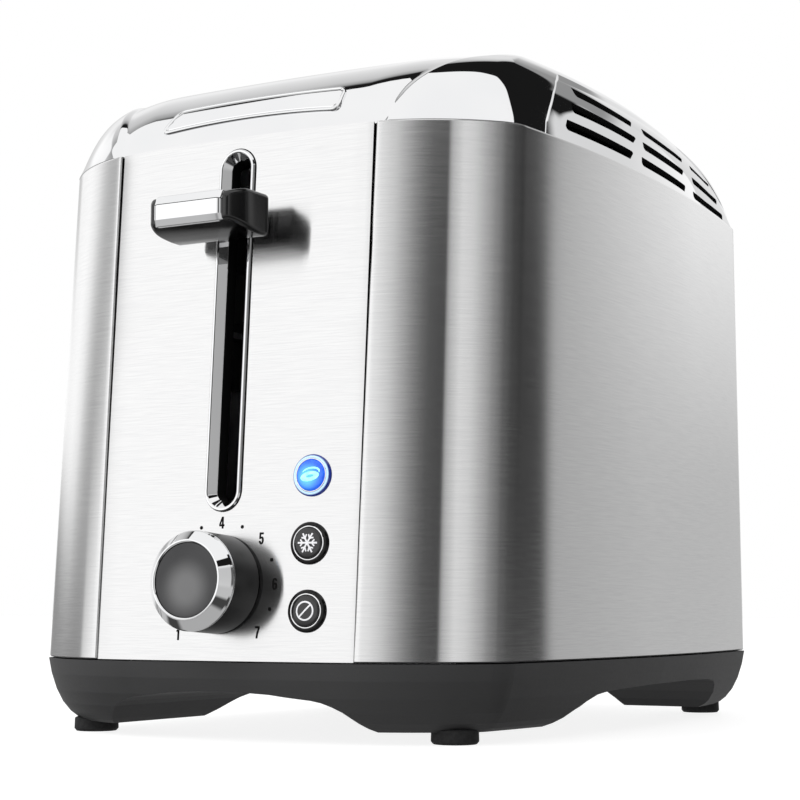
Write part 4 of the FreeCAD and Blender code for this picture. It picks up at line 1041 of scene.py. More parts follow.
# distance round the outline, used as the flat coordinate of the cheeks
RT = np.linspace(0, PI, 6001)
RX, RY = plan(RT, (YR - YF) / 2 - 9, HWT - 5, 58, 12.5)
RD = np.r_[0, np.cumsum(np.hypot(np.diff(RX), np.diff(RY)))]
CREASE = np.array([(-74.6, 0.0), (-71.2, 4.63), (-65.3, 10.47), (-58.0, 17.0), (-49.9, 22.94), (-40.0, 28.16)])
FAR = 2 * YM + 18.0
# vents of a flank, row by row: places along it, the foot and the head of the row there, and each opening's ends (foot and head)
VENTS = [
    ([-56, -40, -28, -16, 0, 12, 24, 32, 44, 52, 60, 90], [4.8, 4.6, 4.4, 4.1, 3.6, 3.2, 2.75, 2.3, 1.65, 1.25, 1.0, 1.0],
     [8.9, 8.75, 8.4, 8.0, 7.25, 6.7, 6.15, 5.7, 5.0, 4.6, 4.15, 4.0], [(-59.3, -55, -15.2, -9.2), (-6.3, -3, 32.5, 37.2), (42.2, 45, 80, 85)]),
    ([-48, -36, -24, -16, -8, 4, 16, 28, 40, 52, 60, 68, 76, 90], [12.6, 12.55, 12.35, 12.1, 11.7, 11.05, 10.5, 10.0, 9.5, 8.8, 8.3, 7.9, 7.3, 7.0],
     [16.6, 16.4, 15.9, 15.5, 15.1, 14.4, 13.85, 13.2, 12.6, 11.9, 11.4, 10.8, 10.2, 10.0], [(-48.8, -46.4, -6.2, -0.6), (2.3, 4.5, 38.5, 43.5), (50.2, 52.5, 81, 86)]),
    ([-40, -36, -28, -20, -12, -4, 4, 12, 20, 28, 36, 44, 60, 68, 76, 90], [20.4, 20.3, 20.05, 19.7, 19.35, 18.95, 18.45, 18.0, 17.5, 17.1, 16.8, 16.4, 15.6, 14.9, 14.1, 13.9],
     [24.3, 24.1, 23.7, 23.2, 22.65, 22.1, 21.55, 21.0, 20.4, 19.9, 19.45, 19.1, 17.7, 16.8, 16.0, 15.7], [(-39.6, -37.6, -0.5, 3.9), (9.8, 11.8, 47, 50.8), (57, 59, 80, 84)])]


def s_of_up(u):
    return np.interp(u, prof[:, 0], dist)


def cheek_uv(yb, u):
    """Flat coordinates of the cheek's point at length yb and height u."""
    s = s_of_up(u)
    lo, hi = np.full_like(s, rad(20)), np.full_like(s, PI - rad(20))
    for _ in range(50):
        mid = (lo + hi) / 2
        y = dome(s, mid)[:, 1]
        big = y > yb
        hi, lo = np.where(big, mid, hi), np.where(big, lo, mid)
    return np.column_stack([np.interp((lo + hi) / 2, RT, RD), s])


def rounded_poly(q, r, n=5):
    """A polygon with its corners turned into arcs of radius r (one value, or one per corner)."""
    out = []
    q = np.asarray(q, float)
    m = len(q)
    rr = np.broadcast_to(r, (m,))
    for i in range(m):
        p, a, b = q[i], q[i - 1], q[(i + 1) % m]
        da, db = a - p, b - p
        la, lb = np.linalg.norm(da), np.linalg.norm(db)
        da, db = da / la, db / lb
        ang_ = math.acos(max(-1, min(1, float(da @ db))))
        k = min(rr[i] / math.tan(ang_ / 2), 0.45 * la, 0.45 * lb)
        if k < 1e-6:
            out.append(p)
            continue
        rad_ = k * math.tan(ang_ / 2)
        bis = (da + db) / np.linalg.norm(da + db)
        c = p + bis * rad_ / math.sin(ang_ / 2)
        s0, s1 = p + da * k - c, p + db * k - c
        a0, a1 = math.atan2(s0[1], s0[0]), math.atan2(s1[1], s1[0])
        dd = (a1 - a0 + PI) % (2 * PI) - PI
        for w in np.linspace(0, 1, n + 1):
            out.append(c + rad_ * np.array([math.cos(a0 + dd * w), math.sin(a0 + dd * w)]))
    return np.array(out)


def densify(q, step):
    out = []
    for a, b in zip(q, np.roll(q, -1, axis=0)):
        m = max(1, int(np.linalg.norm(b - a) / step))
        for k in range(m):
            out.append(a + (b - a) * k / m)
    return np.array(out)


def vent_loop(row, ends):
    """Outline of one slanted opening, in the flank's flat coordinates."""
    ys, foot, head, _ = row
    a0, a1, b0, b1 = ends
    q = rounded_poly(np.array([(a0, 0.0), (b0, 0.0), (b1, 3.9), (a1, 3.9)]), [0.9, 0.6, 0.5, 0.6], 4)
    q = densify(q, 1.2)
    w = q[:, 1] / 3.9
    return cheek_uv(q[:, 0], np.interp(q[:, 0], ys, foot) * (1 - w) + np.interp(q[:, 0], ys, head) * w)


def crease_depth(uv, P):
    """How far the vented flank is set back behind the corners."""
    yb, u = P[:, 1], P[:, 2] - ZT
    yc = np.interp(u, CREASE[:, 1], CREASE[:, 0])
    slope = np.gradient(np.interp(np.linspace(0, 28, 29), CREASE[:, 1], CREASE[:, 0]))
    k = np.interp(u, np.linspace(0, 28, 29), 1 / np.hypot(1, slope))
    d0 = (yb - yc) * k
    d1 = (FAR - yb - yc) * k
    w = np.clip(d0 / 0.9, 0, 1)
    w1 = np.clip(d1 / 0.9, 0, 1)
    f = (w * w * (3 - 2 * w)) * (w1 * w1 * (3 - 2 * w1))
    return 0.42 * f * np.clip((28.4 - u) / 3.0, 0, 1)


def cheek():
    """The chrome corner and flank on the +X side, outside the band's edge."""
    so, To = locate(E_OUT[:, 0], E_OUT[:, 1])
    so[0] = so[-1] = 0.0
    top = np.column_stack([np.interp(To, RT, RD), so])
    rim = np.linspace(top[0, 0], top[-1, 0], 380)[1:-1]
    rim = np.column_stack([rim, np.zeros(len(rim))])
    outer = np.vstack([rim, top[::-1]])
    outer = np.vstack([top[:1], rim, top[1:][::-1]])
    holes = [vent_loop(row, e) for row in VENTS for e in row[3]]
    ext = []
    for off in (-0.5, 0.0, 0.2, 0.45, 0.7, 0.9, 1.4):
        for mir in (0, 1):
            c = resample(np.vstack([(-74.1, 0.7), CREASE[1:]]), 0.7)
            u = c[:, 1]
            yb = c[:, 0] + off * 1.3
            if mir:
                yb = FAR - yb
            q = cheek_uv(yb, np.clip(u, 0.6, 28.1))
            q = q[inside(outer, q)]
            q = q[away(outer, q, 0.5)]
            for h in holes:
                q = q[~inside(h, q)]
                q = q[away(h, q, 0.3)]
            ext.append(q)
    P, tri = fill(outer, holes, 1.0, ext)
    T = np.interp(P[:, 0], RD, RT)
    s = P[:, 1]
    p = dome(s, T)
    n = dome_normal(s, T)
    dep = crease_depth(P, p)
    V = p - n * dep[:, None]
    on_edge = np.zeros(len(P), bool)
    N = n.copy()
    N[(dep > 0.002) & (dep < 0.415)] = 0
    # the points on the shared edge are given the very same places as the bevel's later, in make_cap
    return V, N, [tuple(int(i) for i in t) for t in tri], P


def bevel():
    """The S-shaped step between the cheek and the band."""
    w = np.linspace(0, 1, 9)
    h = np.clip((w - 0.06) / 0.88, 0, 1)
    h = np.where(h < 0.5, 0.5 * (2 * h) ** 1.25, 1 - 0.5 * (2 - 2 * h) ** 1.25)
    rows = []
    for wi, hi in zip(w, h):
        q = E_OUT * (1 - wi) + E_IN * wi
        s, T = locate(q[:, 0], q[:, 1])
        s[0] = s[-1] = 0.0
        V, _ = cap_point(q, hi * STEP_DEPTH, s, T)
        rows.append(V)
    return np.array(rows)


def top_z(xy, depth=STEP_DEPTH):
    V, n = cap_point(np.asarray(xy, float), depth)
    return V, n


SLOT = (8.5, 44.5, -66.0, 79.0, 3.0)
LIP = 1.3


def slot_loop(sgn, grow):
    x0, x1, y0, y1, r = SLOT
    q = rounded_poly(np.array([(x0 - grow, y0 - grow), (x1 + grow, y0 - grow), (x1 + grow, y1 + grow), (x0 - grow, y1 + grow)]), r + grow, 8)
    q = densify(q, 2.0)
    return q * (sgn, 1)


def band():
    """The recessed band from the front, over the top, to the rear, without the bread slots."""
    # rim of the band, front and rear
    def rim(rear):
        xs = np.linspace(E_IN[0, 0], -E_IN[0, 0], 96)[1:-1]
        lo, hi = np.zeros(len(xs)), np.full(len(xs), PI / 2)
        for _ in range(50):
            mid = (lo + hi) / 2
            x = dome(np.zeros(len(xs)), mid)[:, 0]
            big = x > np.abs(xs)
            hi, lo = np.where(big, mid, hi), np.where(big, lo, mid)
        T = (lo + hi) / 2
        T = np.where(xs < 0, 2 * PI - T, T)
        if rear:
            T = np.mod(PI - T, 2 * PI)
        p = dome(np.zeros(len(xs)), T)
        return p[:, :2], T
    # flat coordinates: x, and the distance along the middle profile
    yc = np.r_[YF + prof[:, 1], YR - prof[::-1, 1]]
    zc = np.r_[prof[:, 0], prof[::-1, 0]]
    eta = np.r_[0, np.cumsum(np.hypot(np.diff(yc), np.diff(zc)))]

    def flat(q):
        return np.column_stack([q[:, 0], np.interp(q[:, 1], yc, eta)])

    fr, Tf = rim(False)
    rr, Tr = rim(True)
    right = E_IN
    left = E_IN * (-1, 1)
    loop = np.vstack([right, rr, left[::-1], fr[::-1]])
    front0 = yc[0]
    fl = flat(loop)
    # the first points lie before the middle profile's start only by rounding
    holes = [slot_loop(s_, LIP) for s_ in (1, -1)]
    fh = [flat(h) for h in holes]
    P, tri = fill(fl, fh, 1.5)
    y = np.interp(P[:, 1], eta, yc)
    xy = np.column_stack([P[:, 0], y])
    # boundary points keep their exact place
    for src, ref in ((loop, fl),) + tuple(zip(holes, fh)):
        for a_, b_ in zip(src, ref):
            i = int(np.argmin(np.abs(P[:, 0] - b_[0]) + np.abs(P[:, 1] - b_[1])))
            if abs(P[i, 0] - b_[0]) + abs(P[i, 1] - b_[1]) < 1e-5:
                xy[i] = a_
    s, T = locate(xy[:, 0], xy[:, 1])
    n_r = len(right)
    rimset = {tuple(np.round(p, 6)) for p in np.vstack([rr, fr, right[[0, -1]], left[[0, -1]]])}
    for i, p in enumerate(np.round(xy, 6)):
        if tuple(p) in rimset:
            s[i] = 0.0
    V, n = cap_point(xy, STEP_DEPTH, s, T)
    return V, n, [tuple(int(i) for i in t) for t in tri], xy


def lips():
    """Rolled edge round each bread slot."""
    out = []
    for sgn in (1, -1):
        rows = []
        for k, a in enumerate(np.linspace(0, PI / 2, 6)):
            g = LIP * (1 - math.sin(a))
            drop = LIP * (1 - math.cos(a))
            q = slot_loop(sgn, 0.0)
            q1 = slot_loop(sgn, LIP)
            w = g / LIP
            xy = q * (1 - w) + q1 * w
            V, n = top_z(q1 if k == 0 else xy)
            V = V.copy()
            V[:, 2] -= drop
            rows.append(V)
        V = rows[-1].copy()
        V[:, 2] -= 0.9
        rows.append(V)
        out.append(np.array(rows))
    return out


def make_cap():
    m = Mesh()
    V, N, F, uv = cheek()
    B = bevel()
    # cheek points that lie on the band's edge take the bevel's own places
    from_edge = B[0]
    for i in range(len(V)):
        pass
    key = {}
    so, To = locate(E_OUT[:, 0], E_OUT[:, 1])
    so[0] = so[-1] = 0.0
    topuv = np.column_stack([np.interp(To, RT, RD), so])
    for j, q in enumerate(topuv):
        i = int(np.argmin(np.abs(uv[:, 0] - q[0]) + np.abs(uv[:, 1] - q[1])))
        if abs(uv[i, 0] - q[0]) + abs(uv[i, 1] - q[1]) < 1e-4:
            V[i] = B[0, j]
    for sgn in (1, -1):
        k = (sgn, 1, 1)
        m.add(V * k, [f if sgn > 0 else f[::-1] for f in F], N * k)
        m.add((B * k).reshape(-1, 3), [tuple(q) for q in grid_faces(B.shape[0], B.shape[1], 0, False, False, sgn > 0)])
    Vb, Nb, Fb, xy = band()
    for j in range(NE):
        for sg in (1, -1):
            q = E_IN[j] * (sg, 1)
            i = int(np.argmin(np.abs(xy[:, 0] - q[0]) + np.abs(xy[:, 1] - q[1])))
            if abs(xy[i, 0] - q[0]) + abs(xy[i, 1] - q[1]) < 1e-4:
                Vb[i] = B[-1, j] * (sg, 1, 1)
    m.add(Vb, Fb, Nb)
    for L in lips():
        g = grid_faces(L.shape[0], L.shape[1], 0, False, True)
        p = L.reshape(-1, 3)
        q = p[list(g[3])]
        fn = np.cross(q[1] - q[0], q[2] - q[0])
        m.add(p, [tuple(t) if fn[2] > 0 else tuple(t[::-1]) for t in g])
    v, n, f = m.weld(3e-4)
    b = boundary(f)
    # the shell's inner face
    ss, TTt = locate(v[:, 0], v[:, 1])
    dn = dome_normal(np.clip(ss, 0.05, None), TTt)

    def inner(vv, vn):
        t = 2.0
        q = vv - dn * t
        return q
    v2, n2, f2 = thicken(v, n, f, 2.0, inner)
    o = solid("top_cap_shell", v2, f2, "housing", "chrome", sharp=38, normals=n2, replaces=("top_cap",))
    # painted shade: the inside of the shell and its cut walls take a dull dark finish where they lie in shade
    o.data.materials.append(MAT["inner_dark"])
    fc = np.zeros(len(o.data.polygons), np.int32)
    k = len(v)
    for i, p in enumerate(o.data.polygons):
        if max(p.vertices) >= k and not (min(p.vertices) < k and v[min(p.vertices), 2] < ZT + 0.6):
            fc[i] = 1
    o.data.polygons.foreach_set("material_index", fc)
    return o


make_cap()
# ---------------------------------------------------------- small-part tools
def closed(name, V, F, body, slot, mat=None, sharp=35.0, replaces=(), normals=None, ride=True):
    """A closed mesh, turned the right way out."""
    V = np.asarray(V, float)
    tri = np.array([(q[0], q[k], q[k + 1]) for q in F for k in range(1, len(q) - 1)])
    a, b, c = V[tri[:, 0]], V[tri[:, 1]], V[tri[:, 2]]
    if (np.cross(a, b) * c).sum() < 0:
        F = [tuple(reversed(q)) for q in F]
    return solid(name, V, F, body, slot, mat, sharp, normals, replaces)


def turned(prof, place, n=96, axis=True):
    """Points and faces of a profile (radius, height) turned about an axis. With axis, the profile runs from axis to axis."""
    a = np.linspace(0, 2 * PI, n, endpoint=False)
    prof = np.asarray(prof, float)
    if not axis:
        P = np.stack([np.cos(a)[:, None] * prof[:, 0], np.sin(a)[:, None] * prof[:, 0], np.broadcast_to(prof[:, 1], (n, len(prof)))], -1)
        return place(P.reshape(-1, 3)), [tuple(q) for q in grid_faces(n, len(prof), 0, True, True)]
    mid = prof[1:-1]
    P = np.stack([np.cos(a)[:, None] * mid[:, 0], np.sin(a)[:, None] * mid[:, 0], np.broadcast_to(mid[:, 1], (n, len(mid)))], -1).reshape(-1, 3)
    F = [tuple(q) for q in grid_faces(n, len(mid), 0, True, False)]
    k = len(P)
    P = np.vstack([P, [(0, 0, prof[0, 1]), (0, 0, prof[-1, 1])]])
    m = len(mid)
    for i in range(n):
        j = (i + 1) % n
        F.append((k, j * m, i * m))
        F.append((k + 1, i * m + m - 1, j * m + m - 1))
    return place(P), F


def at_panel(cx, z):
    def f(p):
        p = np.asarray(p, float)
        return on_panel(p + (cx, up(z), 0.0))
    return f


def at_button(z):
    def f(p):
        return on_button(p, z)
    return f


def held(prof, gap=0.06, closed_=True):
    """Extra points just inside the ends of every long flat, so that flats shade flat."""
    prof = np.asarray(prof, float)
    out = []
    n = len(prof)
    for i in range(n):
        out.append(prof[i])
        if i == n - 1 and not closed_:
            break
        d = prof[(i + 1) % n] - prof[i]
        L = np.linalg.norm(d)
        if L > 6 * gap:
            out += [prof[i] + d * gap / L, prof[i] + d * (1 - gap / L)]
    return np.array(out)


# -------------------------------------------------------------------- bezel
def make_bezel():
    """Chrome surround of the lever slot: a rounded bead outside, then a flare that turns into the slot."""
    c0, c1 = up(72.5), up(169.4)
    prof = np.array([(5.6, -2.2), (6.1, -1.2), (6.28, -0.6), (6.28, 0.42), (5.9, 0.92), (5.4, 0.92), (5.1, 0.72), (3.2, -1.45), (3.05, -1.9), (3.05, -6.0), (3.9, -6.0), (5.2, -2.2)])
    prof = rounded_poly(prof, [0.05, 0.1, 0.1, 0.3, 0.28, 0.22, 0.2, 0.35, 0.3, 0.1, 0.1, 0.1], 4)
    keep = [0]
    for i in range(1, len(prof)):
        if np.linalg.norm(prof[i] - prof[keep[-1]]) > 1e-4:
            keep.append(i)
    prof = held(prof[keep])
    a = np.linspace(0, PI, 41)
    ring = [(math.cos(t), math.sin(t), c1) for t in a]
    ring += [(-1.0, 0.0, c1 + (c0 - c1) * w) for w in np.linspace(0, 1, 26)[1:-1]]
    ring += [(-math.cos(t), -math.sin(t), c0) for t in a]
    ring += [(1.0, 0.0, c0 + (c1 - c0) * w) for w in np.linspace(0, 1, 26)[1:-1]]
    ring = np.array(ring)
    P = np.zeros((len(ring), len(prof), 3))
    P[..., 0] = ring[:, 0:1] * prof[:, 0]
    P[..., 1] = ring[:, 1:2] * prof[:, 0] + ring[:, 2:3]
    P[..., 2] = prof[:, 1]
    V = on_panel(P.reshape(-1, 3))
    o = closed("slot_bezel_shell", V, [tuple(q) for q in grid_faces(len(ring), len(prof), 0, True, True)], "housing", "chrome", sharp=50, replaces=("slot_bezel",))
    # painted shade: a dull dark finish down its outer wall, for the shade in the gap round it, and inside the slot
    o.data.materials.append(MAT["inner_dark"])
    K = len(prof)
    side = np.array([(prof[j, 0] > 5.55 and prof[(j + 1) % K, 1] < 0.40) or (prof[j, 1] < -1.5 and prof[(j + 1) % K, 1] < -1.5) for j in range(K)])
    fc = np.zeros(len(o.data.polygons), np.int32)
    for n_, p in enumerate(o.data.polygons):
        j = min(v % K for v in p.vertices)
        js = sorted({v % K for v in p.vertices})
        if js == [0, K - 1]:
            j = K - 1
        fc[n_] = int(side[j])
    o.data.polygons.foreach_set("material_index", fc)


make_bezel()


# -------------------------------------------------------------------- lever
SIDE_LOW = np.array([(-140.0, 148.7), (-139.4, 148.8), (-137.4, 148.1), (-134.6, 147.4), (-131.6, 146.9), (-127.0, 146.4), (-122.3, 146.3)])
SIDE_TOP = np.array([(-140.0, 156.5), (-139.8, 156.8), (-138.0, 157.5), (-135.4, 158.3), (-132.6, 158.8), (-122.3, 158.8)])
PLAN_HALF = np.array([(-140.1, 13.4), (-138.4, 14.6), (-136.4, 15.5), (-134.0, 16.1), (-131.5, 16.3), (-122.0, 16.3)])


def smoothed(tab, sigma=0.9):
    q = smooth_line(tab, sigma, 0.05)
    return q[:, 0], q[:, 1]


def make_lever():
    lx, lz = smoothed(SIDE_LOW)
    tx, tz = smoothed(SIDE_TOP)
    px, pw = smoothed(PLAN_HALF)
    ys = [-122.3, -122.35, -122.5, -122.75, -123.1] + list(np.linspace(-124.5, -138.6, 22)) + [-139.2, -139.6, -139.9, -140.05, -140.1]
    ins = [0.9, 0.55, 0.27, 0.08, 0.0] + [0.0] * 22 + [0.04, 0.16, 0.38, 0.66, 1.0]
    rows = []
    for y, i in zip(ys, ins):
        yc = max(y, -140.0)
        z0, z1, w = np.interp(yc, lx, lz) + i, np.interp(yc, tx, tz) - i, np.interp(yc, px, pw) - i
        r = 1.5 - 0.4 * min(i, 1.0)
        pts = []
        for cx, cz, a0 in ((w - r, z1 - r, 0), (-w + r, z1 - r, 90), (-w + r, z0 + r, 180), (w - r, z0 + r, 270)):
            for k in range(9):
                t = rad(a0 + 90 * k / 8)
                pts.append((cx + r * math.cos(t), y, cz + r * math.sin(t)))
        rows.append(pts)
    G = np.array(rows)
    n = G.shape[1]
    F = [tuple(q) for q in grid_faces(G.shape[0], n, 0, False, True)]
    F.append(tuple(range(n))[::-1])
    F.append(tuple(range(n * (G.shape[0] - 1), n * G.shape[0])))
    closed("lever_head_grip", G.reshape(-1, 3), F, "carriage", "lever_plastic", sharp=40, replaces=("lever_head",))
    # the chrome bar let into its front: three flats with soft creases, its ends turned back
    prof = np.array([(-139.6, 148.3), (-140.5, 148.35), (-141.3, 150.4), (-141.32, 154.9), (-140.05, 157.45), (-138.7, 157.75), (-138.7, 157.2)])
    pr = []
    for i in range(len(prof)):
        if i in (0, len(prof) - 1):
            pr.append(prof[i])
            continue
        p, a, b = prof[i], prof[i - 1], prof[i + 1]
        k = 0.12 if i in (2, 3) else 0.22
        da, db = (a - p) / np.linalg.norm(a - p) * k, (b - p) / np.linalg.norm(b - p) * k
        for w in np.linspace(0, 1, 5):
            pr.append((1 - w) ** 2 * (p + da) + 2 * w * (1 - w) * p + w * w * (p + db))
    pr = held(np.array(pr), 0.06, False)
    e = 1.9
    half = 11.9
    t = np.radians([90, 84, 76, 66, 55, 43, 30, 15, 0])
    xs = np.r_[-(half - e + e * np.sin(t)), np.linspace(-(half - e), half - e, 7)[1:-1], (half - e + e * np.sin(t[::-1]))]
    sc = np.r_[np.cos(t), np.ones(5), np.cos(t[::-1])]
    rows = []
    for x, s in zip(xs, sc):
        zc = 152.9
        q = pr.copy()
        q[:, 0] = -138.7 + (pr[:, 0] + 138.7) * (0.45 + 0.55 * s)
        q[:, 1] = zc + (pr[:, 1] - zc) * (0.86 + 0.14 * s)
        rows.append(np.column_stack([np.full(len(q), x), q]))
    G = np.array(rows)
    n = G.shape[1]
    F = [tuple(q) for q in grid_faces(G.shape[0], n, 0, False, True)]
    F.append(tuple(range(n))[::-1])
    F.append(tuple(range(n * (G.shape[0] - 1), n * G.shape[0])))
    o = closed("lever_insert_bar", G.reshape(-1, 3), F, "carriage", "chrome", sharp=24, replaces=("lever_insert",))
    # painted shade: a fine dark line along its upper crease, where the chrome's reflection turns dark
    o.data.materials.append(MAT["inner_dark"])
    crease = np.hypot(pr[:, 0] + 141.3, pr[:, 1] - 154.9) < 0.17
    ids = set(int(i) for i in np.where(crease)[0])
    o.data.polygons.foreach_set("material_index", np.array([int(len(p.vertices) == 4 and all(v % n in ids for v in p.vertices)) for p in o.data.polygons], np.int32))


make_lever()


# --------------------------------------------------------------------- knob
def make_knob():
    place = at_panel(0.0, 45.2)
    body = rounded_poly(np.array([(0.0, 0.4), (13.6, 0.4), (14.4, 0.9), (14.4, 12.7), (13.9, 13.1), (0.0, 13.1)]), [0, 0.3, 0.3, 0.3, 0.2, 0], 4)
    V, F = turned(body, place, 128)
    closed("knob_body_turned", V, F, "dial", "knob_plastic", sharp=40, replaces=("knob_body",))
    rim = np.array([(10.75, 12.6), (14.05, 12.6), (14.42, 12.95), (14.42, 13.75), (14.05, 14.35), (11.55, 16.95), (11.1, 17.05), (10.75, 16.75)])
    rim = rounded_poly(rim, [0.0, 0.1, 0.2, 0.3, 0.3, 0.2, 0.2, 0.1], 5)
    V, F = turned(held(rim), place, 128, axis=False)
    closed("knob_rim_turned", V, F, "dial", "chrome", sharp=45, replaces=("knob_rim",))
    rr = np.linspace(10.3, 0, 12)
    face = [(0.0, 13.2), (10.72, 13.2), (10.72, 16.3), (10.68, 16.42), (10.56, 16.5)] + [(r, 16.52 - 0.1 * (1 - (r / 10.3) ** 2)) for r in rr]
    V, F = turned(face, place, 128)
    closed("knob_face_disc", V, F, "dial", "knob_metal", sharp=40, replaces=("knob_face",))


make_knob()


# ------------------------------------------------------------------ buttons
def button_height(r):
    return 1.65 - 0.42 * (r / 4.45) ** 2


def make_buttons():
    trims = Mesh()
    rings = {"housing_dark": Mesh(), "housing_lit": Mesh()}
    for nm, z in BUTTONS:
        place = at_button(z)

        def ring(prof, radii):
            V, F = turned(rounded_poly(np.array(prof), radii, 4), place, 96, axis=False)
            tri = np.array([(q[0], q[k], q[k + 1]) for q in F for k in (1, 2)])
            if (np.cross(V[tri[:, 0]], V[tri[:, 1]]) * V[tri[:, 2]]).sum() < 0:
                F = [tuple(reversed(q)) for q in F]
            return V, F
        trims.add(*ring([(4.55, -1.4), (4.95, -1.4), (4.98, 0.98), (4.86, 1.08), (4.66, 1.08), (4.55, 0.98)], [0.05, 0.05, 0.05, 0.08, 0.08, 0.05]))
        lit = nm == "bagel"
        rings["housing_lit" if lit else "housing_dark"].add(*ring(
            [(5.0, -1.4), (5.45, -1.4), (5.45, 0.08), (6.1, 0.08), (6.1, 0.36), (5.75, 0.84), (5.25, 0.96), (5.0, 0.86)], [0.1, 0.1, 0.0, 0.0, 0.2, 0.3, 0.2, 0.08]))
        rr = np.linspace(4.05, 0, 14)
        cap = [(0.0, -3.0), (4.45, -3.0), (4.45, 0.75), (4.43, 0.95), (4.36, 1.1), (4.24, 1.2)] + [(r, button_height(r)) for r in rr]
        V, F = turned(cap, place, 96)
        closed(nm + "_button_cap", V, F, nm, "button_lit" if lit else "button_plastic", sharp=50, replaces=(nm + "_button",))
    solid("button_trims", np.vstack(trims.v), trims.f, "housing", "chrome", sharp=45, replaces=("button_rings",))
    # painted reflection: the outer rings are near-black plastic in place of chrome that mirrors dark surroundings
    m = rings["housing_dark"]
    solid("button_surrounds", np.vstack(m.v), m.f, "housing", "button_plastic", "surround_black", sharp=45)
    m = rings["housing_lit"]
    solid("bagel_button_surround", np.vstack(m.v), m.f, "housing", "button_lit", "lens_blue", sharp=45)


make_buttons()


def print_on(name, pieces, surface, body, slot, mat, lift=0.015, thick=0.03, spacing=0.6):
    """Thin raised print: flat outlines (with holes) laid on a surface, each a closed film."""
    m = Mesh()
    for outer, holes in pieces:
        outer = np.asarray(outer, float)
        d = outer - np.roll(outer, 1, axis=0)
        P, tri = fill(outer, holes, spacing, keep=0.5)
        top = surface(P, lift + thick)
        low = surface(P, lift)
        k = len(P)
        F = [tuple(int(i) for i in t) for t in tri]
        out = list(F) + [tuple(i + k for i in reversed(q)) for q in F]
        for a, b in boundary(F):
            out.append((b, a, a + k, b + k))
        V = np.vstack([top, low])
        t3 = np.array([(q[0], q[j], q[j + 1]) for q in out for j in range(1, len(q) - 1)])
        if (np.cross(V[t3[:, 0]], V[t3[:, 1]]) * V[t3[:, 2]]).sum() < 0:
            out = [tuple(reversed(q)) for q in out]
        m.add(V, out)
    return solid(name, np.vstack(m.v), m.f, body, slot, mat, 40)


def ellipse(cx, cy, a, b, rot=0.0, n=40, t0=0.0, t1=2 * PI, end=False):
    t = np.linspace(t0, t1, n, endpoint=end)
    x, y = a * np.cos(t), b * np.sin(t)
    c, s = math.cos(rot), math.sin(rot)
    return np.column_stack([cx + x * c - y * s, cy + x * s + y * c])


def bar(p, q, w):
    p, q = np.array(p, float), np.array(q, float)
    d = (q - p) / np.linalg.norm(q - p)
    n = np.array([-d[1], d[0]]) * w / 2
    return np.array([p - n, q - n, q + n, p + n])


def make_icons():
    def cap(z):
        def f(P, h):
            r = np.hypot(P[:, 0], P[:, 1])
            return on_button(np.column_stack([P, button_height(r) + h]), z)
        return f
    # cancel: a ring crossed by a bar
    ring = (ellipse(0, 0, 2.8, 2.8, n=64), [ellipse(0, 0, 2.34, 2.34, n=56)])
    print_on("cancel_icon", [ring, (densify(bar((-1.72, -1.72), (1.72, 1.72), 0.46), 0.3), [])], cap(37.5), "cancel", "wire_insulation", "print_white", spacing=0.4)
    # frozen: six arms, each with two side twigs
    pieces = []
    for k in range(6):
        a = rad(60 * k)
        u, v = np.array([math.cos(a), math.sin(a)]), np.array([-math.sin(a), math.cos(a)])
        pieces.append((densify(bar(u * 0.0, u * 3.1, 0.5), 0.3), []))
        for s_ in (1, -1):
            d = (u + v * s_ * 1.15) / math.hypot(1, 1.15)
            pieces.append((densify(bar(u * 1.45, u * 1.45 + d * 1.25, 0.42), 0.3), []))
    print_on("frozen_icon", pieces, cap(56.7), "frozen", "wire_insulation", "print_white", spacing=0.4)
    # bagel: two halves, one behind the other
    r0 = rad(10)
    front = (ellipse(-0.1, -0.45, 3.0, 1.35, r0, 64), [ellipse(0.0, -0.35, 1.25, 0.42, r0, 32)])
    outer = ellipse(0.25, 0.75, 2.9, 1.45, r0, 34, rad(-18), rad(150), True)
    inner = ellipse(0.0, 0.35, 2.85, 1.35, r0, 34, rad(-14), rad(146), True)[::-1]
    print_on("bagel_icon", [front, (np.vstack([outer, inner]), [])], cap(76.1), "bagel", "button_lit", "icon_glow", spacing=0.4)


make_icons()


